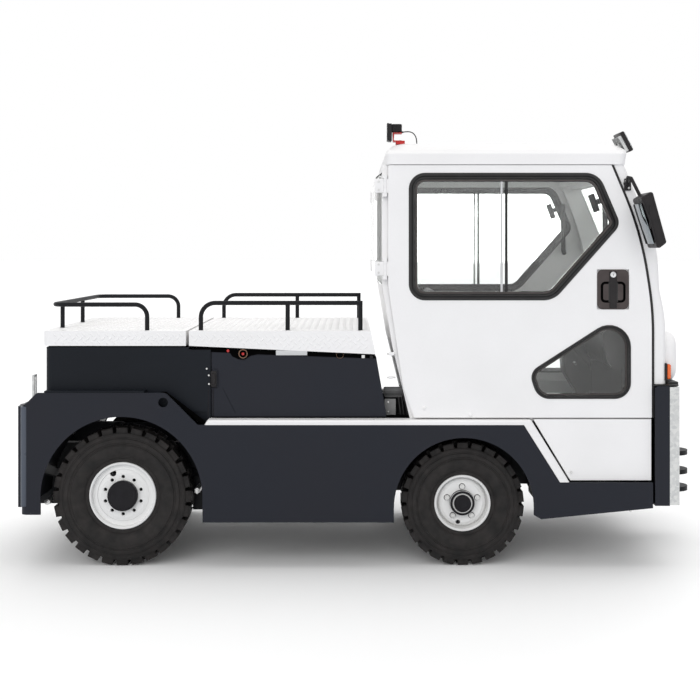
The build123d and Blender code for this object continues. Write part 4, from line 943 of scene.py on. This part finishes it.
indicator = {
    "base": ("box", (1500, 1512), (602, 642), (900, 983), 3, 3, 1),
    "lens": ("box", (1511, 1531), (604, 640), (905, 978), 8, 4, 0),
    "ribs": ("boxes", 7, (still, still, (9, 9)), (1512, 1531.6), (609, 635), (912, 914), 0.4, 1, 0),
}
indicatorPair = detailPiece("indicatorPair", [orangeLens, grainedAbsAndCreaseShade], {}, indicator, slot="orange_lens")
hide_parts("indicators")

tail = {
    # places across, centre of the base, and the base, lens and rim as profiles with their materials
    "y": (-510, 510), "x": -1484, "z": 984,
    "rings": (([(0, 0), (36, 0), (36, 13), (34, 15), (31, 15)], 1),
              ([(31, 13), (31, 16), (27, 20), (18, 23), (9, 24), (0, 24.2)], 0),
              ([(32.2, 15), (31.4, 17), (30, 17.6), (28, 16)], 0)),
}
mesh = bmesh.new()
for y in tail["y"]:
    for profile, index in tail["rings"]:
        addTurned(mesh, profile, (tail["x"], y, tail["z"]), (-1, 0, 0), 40, index)
tailPair = finishPiece("tailLampPair", mesh, [redLens, grainedAbsAndCreaseShade], "red_lens")
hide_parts("tail_lamps")
print("front and rear lamps made")


# Cab trim: gap rubber, bumper lip, door buffers and hinges

doorFront = [(1434, 722, 0), (1434, 1240, 1500), (1378, 1610, 1600), (1240, 1939, 0)]
gapTrim = {
    "door gap": ("plate", roundedOutline([(x + 3, z, r) for x, z, r in doorFront]
                                         + [(x + 12, z, r) for x, z, r in reversed(doorFront)], 14), 640, 11.2, 0, 0),
    "bumper lip": ("box", (1441, 1560), (8, 668), (876, 884), 3, 2, 0),
    "block under the lamp": ("box", (1512, 1566), (380, 640), (878, 894), 4, 3, 0),
    "outer buffer": ("bolts", ((560, 736),), (649, 655), 12, 20, 9, 2, 1.5),
    "inner buffer": ("bolts", ((430, 760),), (606, 600), 10, 16, 8, 0, 1),
}
detailPiece("gapRubbers", [sealRubber, brightZinc, whiteEnamel], {}, gapTrim, slot="rubber")

hinge = {
    # heights, pin and knuckles as (x, y, half length, radius), knuckle spacing, leaf, and its screws
    "z": (1440, 1840), "pin": (150, 640, 45, 8), "knuckle": (150, 640, 11, 9.6), "knuckles": (-30, 0, 30),
    "leaf": ((100, 142), (634, 640), 34), "screw": (118, (639, 644), 6), "screws": (-20, 20),
}
mesh = bmesh.new()
for out in sides.values():
    for z in hinge["z"]:
        for (x, y, half, radius), rise, bevel in ((hinge["pin"], 0, 1.5), *((hinge["knuckle"], k, 1)
                                                                            for k in hinge["knuckles"])):
            addRod(mesh, (x, out * y, z + rise - half), (x, out * y, z + rise + half), radius, 18, bevel=bevel)
        x, y, half = hinge["leaf"]
        addBox(mesh, x, [out * v for v in y], (z - half, z + half), 2)
        x, y, radius = hinge["screw"]
        for rise in hinge["screws"]:
            addRod(mesh, *[(x, out * v, z + rise) for v in y], radius, 6, index=1, bevel=0.8)
finishPiece("doorHingeLeaves", mesh, [whiteEnamel, brightZinc], "white_paint")
print("cab trim made")


# Cab interior: column shroud, instruments, pedals and roof lining

shroud = {
    "casing": ("plate", roundedOutline([(1112, 990, 14), (1150, 1016, 18), (1262, 900, 30), (1262, 780, 30),
                                        (1188, 768, 30), (1120, 880, 20)], 6), -78, 156, 6, 0),
    "column": ("box", (1182, 1252), (-60, 60), (440, 790), 10, 3, 0),
    "gaiter": ("boxes", 9, ((-0.5, 0.5), still, (7, 7)), (1178, 1256), (-66, 66), (430, 434), 2, 2, 2),
    "ignition lock": ("rod", (1170, -80, 930), (1166, -88, 930), 11, 20, 11, 3, 1),
    "key": ("box", (1157, 1175), (-101, -84), (926, 934), 2, 2, 1),
}
stalk = {
    "lever": ("rod", (1118, 60, 1050), (1104, 150, 1070), 4.5, 12, 4, 0),
    "grip": ("rod", (1104, 150, 1070), (1098, 176, 1074), 7.5, 14, 7, 0, 2),
}
detailPiece("columnShroud", [grainedAbsAndCreaseShade, handleAbs, sealRubber, polishedSteel], shroud, stalk)

dialFace = newLook("printedDialFace", "#dfe3e4", 0.5, IOR=1.5)  # pale card with dark tick marks
tint(dialFace, remap(dialFace, waves(dialFace, "Z", texture["dialTicks"]), 0, 1, 0.8, 0.9), "#dfe3e4", "#2d3033")

panelShape = {
    # place and lean, dials across, their rings and faces, and the needle; switches in two columns and three rows
    "place": (1272, 0, 1158), "lean": -33, "dials": (-110, 0, 110), "dialX": -3,
    "rings": (([(33, 3), (36, 8), (32, 8.5), (30, 6)], 2), ([(0, 6.4), (30, 6.4)], 3)),
    "needle": ((-10.6, -9.8), 1.4, (0, 24)), "switchX": (-13, -7), "switchY": (150, 168), "switchZ": (-30, -14),
    "switchPitch": (24, 22), "vents": (-420, -330, 330, 420),
}
mesh = bmesh.new()
made = addBox(mesh, (-4, 4), (-210, 210), (-42, 42), 6, 3, 0)
made += addBox(mesh, (-8, -3), (-198, 198), (-35, 35), 3, 2, 1)
for y in panelShape["dials"]:
    for profile, index in panelShape["rings"]:
        made += addTurned(mesh, profile, (panelShape["dialX"], y, 0), (-1, 0, 0), 40, index)
    x, needleHalf, z = panelShape["needle"]
    made += addBox(mesh, x, (y - needleHalf, y + needleHalf), z, 0, 1, 0)
for i in range(6):
    across, up = (i % 2) * panelShape["switchPitch"][0], (i // 2) * panelShape["switchPitch"][1]
    made += addBox(mesh, panelShape["switchX"], [v + across for v in panelShape["switchY"]],
                   [v + up for v in panelShape["switchZ"]], 2)
movePart(mesh, made, shift(panelShape["place"]) @ Matrix.Rotation(radians(panelShape["lean"]), 4, "Y"))
for y in panelShape["vents"]:  # air vents with slats
    addRod(mesh, (1330, y, 1190), (1318, y, 1204), 36, 32, 33, 1, 2)
    for i in range(-2, 3):
        addBox(mesh, (1303, 1312), (y - 26, y + 26), (1190 + i * 8, 1193 + i * 8), 1, 1, 0)
addBox(mesh, (1228, 1420), (-528, 528), (1180.5, 1186), 3, 2, 1)
finishPiece("instrumentPanel", mesh, [grainedAbsAndCreaseShade, sealRubber, polishedSteel, dialFace])

pedals = {"x": 1240, "z": 556, "lean": 24, "yAndWidth": ((-130, 70), (110, 90)), "ribs": 9, "ribPitch": 9}
mesh = bmesh.new()
for y, wide in pedals["yAndWidth"]:
    pad = bmesh.new()
    addBox(pad, (-3, 4), (-wide / 2 - 1, wide / 2 + 1), (-42, 42), 2)
    for i in range(pedals["ribs"]):
        rise = i * pedals["ribPitch"]
        addBox(pad, (-6, -2), (-wide / 2 + 5, wide / 2 - 5), (-37 + rise, -33 + rise), 1, 1)
    turn = Matrix.Rotation(radians(pedals["lean"]), 4, "Y")
    stamp(mesh, pad, [shift((pedals["x"], y, pedals["z"])) @ turn])
finishPiece("pedalRubbers", mesh, [sealRubber], "rubber")

liningFoam = newLook("perforatedHeadlining", "#8b8c8b", 0.95, Sheen_Weight=0.2)  # grey felt with dark pinholes
dots = cells(liningFoam, texture["liningHoles"])["Distance"]
tint(liningFoam, remap(liningFoam, dots, 0, 1, 0.1, 0.2), "#5c5d5d", "#8d8e8d")
bump(liningFoam, dots, 0.4)
liningShape = {
    "lining": ("box", (190, 1220), (-560, 560), (1972, 1978), 5, 3, 0),
    "pressed ribs": ("boxes", 4, ((250, 250), still, still), (260, 300), (-520, 520), (1966, 1975), 4, 3, 0),
    "cab light": ("box", (620, 800), (-70, 70), (1952, 1972), 8, 3, 1),
    "cab light's lens": ("box", (640, 780), (-50, 50), (1949, 1954), 4, 2, 2),
}
detailPiece("roofLining", [liningFoam, grainedAbsAndCreaseShade, ledLens], liningShape, slot="white_paint")
print("cab interior made")


# Steering wheel: gripped rim, three spokes and a horn cap

wheelShape = {
    # hub, a second point on its axis, rim and grip radii, and how many steps round the grip
    "hub": (1075, 0, 1170), "foot": (1290, 0, 900), "rim": 185, "grip": 15.6, "gripSteps": 16,
    "spokes": (90, 210, 330),
    "cap": [(0, 25), (22, 24), (36, 19), (44, 10), (46, -4), (40, -14), (24, -15)],
    "capRing": [(20, 24.6), (21, 26), (25, 25.2), (26, 23.8)],
}
wheelAxis = (Vector(wheelShape["hub"]) - Vector(wheelShape["foot"])).normalized()
mesh = bmesh.new()
turns = [2 * pi * step / wheelShape["gripSteps"] for step in range(wheelShape["gripSteps"] + 1)]
grip = [(wheelShape["rim"] + wheelShape["grip"] * cos(angle), wheelShape["grip"] * sin(angle)) for angle in turns]
addTurned(mesh, grip, wheelShape["hub"], wheelAxis, 72, 0)
across = Vector((0, 1, 0))
basis = Matrix((across, wheelAxis.cross(across), wheelAxis)).transposed().to_4x4()
for angle in wheelShape["spokes"]:
    spoke = bmesh.new()
    addBox(spoke, (32, 176), (-15, 15), (-6, 5), 4, 3, 1)
    addBox(spoke, (60, 140), (-8, 8), (4, 6.4), 2, 2, 2)
    stamp(mesh, spoke, [shift(wheelShape["hub"]) @ basis @ Matrix.Rotation(radians(angle), 4, "Z")])
addTurned(mesh, wheelShape["cap"], wheelShape["hub"], wheelAxis, 48, 1)
addTurned(mesh, wheelShape["capRing"], wheelShape["hub"], wheelAxis, 48, 2)
wheelPiece = finishPiece("grippedSteeringWheel", mesh, [sealRubber, grainedAbsAndCreaseShade, polishedSteel],
                         body="steering_wheel", smoothAngle=45)
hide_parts("steering_wheel")
print("steering wheel made")


# Seat: crowned cushion and backrest with stitched channels and piping

seatShape = {
    # centre (x, z), lean in degrees, length, width, thickness and crown of each pad
    "seatCushion": {"centre": (700, 816), "lean": 3, "length": 496, "width": 484, "thick": 88, "crown": 9},
    "backrest": {"centre": (424, 1106), "lean": 96, "length": 436, "width": 462, "thick": 66, "crown": 8},
}
padding = {
    # how square the pads are and how round their edges, stitched channels as shares of the half width and length,
    # their half width and depth, share that the underside bulges, and how far the sides draw in
    "square": 7, "roundness": 0.36, "lengthwise": (-0.56, 0.56), "crosswise": (-0.5, -0.05, 0.4),
    "channelHalf": 7, "channelDepth": 8, "deepest": 1.2, "crossWithin": 0.6, "under": 0.8, "drawnIn": 0.05,
    "piping": 4.2, "pipingSteps": 160, "pipingSquare": 9, "pipingReach": 0.992,
}


def channel(offset, size):
    return exp(-(offset * size / 2 / padding["channelHalf"]) ** 2)


def padHeight(pad, u, v):
    square = padding["square"]
    edge = (max(0.0, 1 - abs(u) ** square) * max(0.0, 1 - abs(v) ** square)) ** padding["roundness"]
    grooves = sum(channel(v - place, pad["width"]) for place in padding["lengthwise"])
    if abs(v) < padding["crossWithin"]:
        grooves += sum(channel(u - place, pad["length"]) for place in padding["crosswise"])
    depth = padding["channelDepth"] * min(grooves, padding["deepest"])
    return edge * (pad["thick"] / 2 - depth) + pad["crown"] * (1 - u * u) * (1 - v * v)


padMesh = bmesh.new()
for pad in seatShape.values():
    steps = 84
    halfLong, halfWide = pad["length"] / 2, pad["width"] / 2
    place = shift((pad["centre"][0], 0, pad["centre"][1])) @ Matrix.Rotation(radians(-pad["lean"]), 4, "Y")
    shell = bmesh.new()
    rows = {}
    for top in (1, -1):
        for i in range(steps + 1):
            for j in range(steps + 1):
                u, v = sin(pi / 2 * (2 * i / steps - 1)), sin(pi / 2 * (2 * j / steps - 1))
                rim = i in (0, steps) or j in (0, steps)
                if rim and top < 0:
                    rows[top, i, j] = rows[1, i, j]
                    continue
                rise = 0 if rim else padHeight(pad, u, v) * (1 if top > 0 else -padding["under"])
                spot = Vector((halfLong * u * (1 - padding["drawnIn"] * v ** 8),
                               halfWide * v * (1 - padding["drawnIn"] * u ** 8), rise))
                rows[top, i, j] = shell.verts.new(spot * mm)
        for i in range(steps):
            for j in range(steps):
                quad = [rows[top, i, j], rows[top, i + 1, j], rows[top, i + 1, j + 1], rows[top, i, j + 1]]
                shell.faces.new(quad if top > 0 else quad[::-1])
    ring = []
    for k in range(padding["pipingSteps"]):
        angle, power = 2 * pi * k / padding["pipingSteps"], padding["pipingSquare"]
        c, s = cos(angle), sin(angle)
        reach = padding["pipingReach"] / (abs(c) ** power + abs(s) ** power) ** (1 / power)
        ring.append(Vector((halfLong * c * reach, halfWide * s * reach, 0)))
    for start, end in zip(ring, ring[1:] + ring[:1]):
        addRod(shell, start, end, padding["piping"], 8, index=1)
    stamp(padMesh, shell, [place])
paddedSeat = finishPiece("paddedSeat", padMesh, [seatCloth, grainedAbsAndCreaseShade], "seat_cover", smoothAngle=60)
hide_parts("seat_cushions")
print("seat made")


# Side hardware: slot under the battery lid, latch, gauge rings and blank plate

copperRing = newLook("copperRing", "#8f7463", 0.34, Metallic=1.0)  # worn copper bezel
tint(copperRing, noise(copperRing, 8), "#7d6556", "#a48671")
greyBoot = mouldedRubber("greyRubberBoot", "#5c5c5c", 0.6, 5.0, 0.1, "#6d6d6d")
# paler enamel with a painted highlight, for the rear plate's bend
paintedBendHighlight = paintedSteel("paintedBendHighlight", "#474d58", "#525965", 0.3, 0.05, 0.4)
greyPlate = paintedSteel("greyPrimedPlate", "#858585", "#8f8f8f", 0.5, 0.05)

slotShape = [(-776, 1056), (-700, 1052), (104, 1016), (106, 1003), (42, 1004), (-470, 1022), (-505, 1014), (-527, 1001),
             (-560, 998), (-592, 1012), (-604, 1030), (-752, 1036)]
slotDetails = {
    # the slot is a near-black plate: painted shadow in the gap under the battery lid
    "slot": ("plate", slotShape, 596, 1.6, 0, 6),
    "red button": ("bolts", ((-613, 1040),), (597, 603), 7.5, 24, 6.5, 4, 0.6),
    "socket": ("bolts", ((-540, 1025),), (597, 602), 25, 24, 24, 6, 0.6),
    "socket's ring": ("turned", [(17.5, 2), (20, 4.4), (22.5, 2)], (-540, 600, 1025), 36, 3),
    "socket's centre": ("turned", [(0, 3.2), (6, 3), (7, 2)], (-540, 600, 1025), 24, 4),
    "front ring": ("turned", [(15.5, 1), (17, 2.6), (18.4, 1)], (-69, 597, 1020), 32, 3),
    "blank plate": ("box", (-380, -228), (597, 599.4), (1018, 1042), 1, 2, 2),
    "bright catch": ("box", (36, 52), (597, 603), (1004, 1020), 2, 2, 5),
    "front stud": ("bolts", ((84, 1010),), (597, 604), 9, 24, 8, 0, 0.6),
    "latch": ("box", (-698, -666), (600, 609), (862, 944), 7, 3, 0),
    "pull": ("box", (-691, -673), (608, 616), (878, 932), 5, 3, 0),
    "pull's lip": ("rod", (-694, 613, 880), (-670, 613, 880), 5, 16, 5, 0, 0.8),
    "rivets": ("bolts", ((-716, 953), (-706, 921), (-705, 879)), (598, 604), 5.4, 24, 4.4, 5, 0.6),
    # the creases are dark strips: painted shade in the battery panel's folds
    "creases": ("boxes", 2, ((23, 23), still, still), (-710.2, -707.8), (596, 601.2), (716, 852), 0.6, 1, 0),
    "slanting crease": ("plate", [(-640, 858), (-637, 858), (-575, 738), (-579, 738)], 596, 1.1, 0, 1),
}
barPlaces = ((-1500, 296), (-768, 352))
closingDetails = {
    # closing panel, and a near-black strip as painted shadow along the edge where the rear plate slopes down to the
    # running board
    "panel": ("plate", [(-856, 790), (-716, 790), (-716, 690), (-748, 690), (-856, 772)], 586, 5, 0, 0),
    "edge": ("plate", [(-935, 846), (-906, 846), (-716, 702), (-728, 683)], 636, 10, 2, 1),
    # splash plates in front of and behind the wheels
    "behind rear wheel": ("box", (-1577, -1450), (425, 431), (263, 400), 2, 2, 2),
    "before rear wheel": ("box", (-806, -752), (425, 431), (232, 400), 2, 2, 2),
    "behind front wheel": ("box", (196, 258), (262, 268), (296, 553), 2, 2, 2),
    "before front wheel": ("box", (806, 936), (262, 268), (329, 560), 2, 2, 2),
    "hexagon bars": ("bolts", barPlaces, (430, 566), 15, 6, 15, 3, 1),
    "their studs": ("bolts", barPlaces, (560, 574), 9, 20, 9, 3, 1),
    # bend where the rear plate folds round to the back, painted paler than the plate as its highlight, and bolts along
    # the running board
    "bend": ("rod", (-1586, 663, 298), (-1586, 663, 778), 17, 32, 17, 4, 4),
    **{f"bolt {x}": ("rod", (x, 664, 704), (x, 664, 716), 5, 6, 5, 3, 0.6) for x in range(-660, 100, 126)},
}
pillarDetails = {
    "bolts": ("bolts", ((1045, 460), (1330, 276), (1180, 300)), (654, 662), 7, 6, 7, 1, 0.8),
    "grab handle": ("spine", [(1236, 606, 1512), (1226, 580, 1530), (1222, 578, 1770), (1228, 600, 1790)], 13, 16, 2),
}
nearDetails = {
    # only on the right, where the gap behind the battery shows them: hinge ends on the cab
    "brackets": ("boxes", 2, ((0, -8), still, (-114, -114)), (168, 194), (-632, -645), (1021, 1037), 3, 2, 0),
    "upper pin": ("rod", (158, -640, 1029), (200, -640, 1029), 4.5, 14, 4, 1, 0.8),
    "lower pin": ("rod", (158, -640, 915), (200, -640, 915), 4.5, 14, 4, 1, 0.8),
}
bootDetails = {
    # the boot with its folds, the plate behind it, three hoses and two bolts
    "boot": ("box", (146, 240), (470, 520), (828, 852), 8, 3, 0),
    "folds": ("boxes", 4, ((3, -2), still, (-7, -7)), (142, 244), (467, 523), (826, 830), 2, 2, 0),
    "plate": ("box", (150, 206), (506, 512), (716, 796), 2, 2, 1),
    **{f"hose {i}": ("spine", [(x, 490 + 8 * i, 822), (x + 4, 492 + 8 * i, 780), (x + 12, 494 + 8 * i, 716)], 7 - i,
                     16, 2) for i, x in enumerate((218, 234, 250))},
    "bolts": ("bolts", ((168, 732), (168, 780)), (511, 516), 5, 6, 5, 3, 0.6),
}
detailPiece("slotAndLatch", [grainedAbsAndCreaseShade, boxEnamelAndCreaseShade, paleChannel, copperRing, redLens, brightZinc, shadowGap], {},
            slotDetails)
detailPiece("sideClosing", [boxEnamelAndCreaseShade, shadowGap, blackEnamel, brightZinc, paintedBendHighlight], {}, closingDetails,
            slot="black_paint")
detailPiece("cabBootAndHoses", [greyBoot, greyPlate, sealRubber, brightZinc], {}, bootDetails, [sides["right"]],
            slot="rubber", smoothAngle=45)
detailPiece("cabDetails", [whiteEnamel, brightZinc, sealRubber], nearDetails, pillarDetails, slot="white_paint")

doorStud = {
    "head": ("turned", [(0, 5), (6, 4.6), (10, 2.4), (12, 0)], (337, 650, 768), 32, 0),
    "slot": ("turned", [(5, 5.0), (5.6, 5.8), (3.2, 5.8), (3, 4.6)], (337, 650, 768), 6, 1),
}
for side, out in sides.items():
    detailPiece(f"doorStud_{side}", [whiteEnamel, brightZinc], {}, doorStud, [out], slot="white_paint",
                body=f"door_{side}")
print("side hardware made")
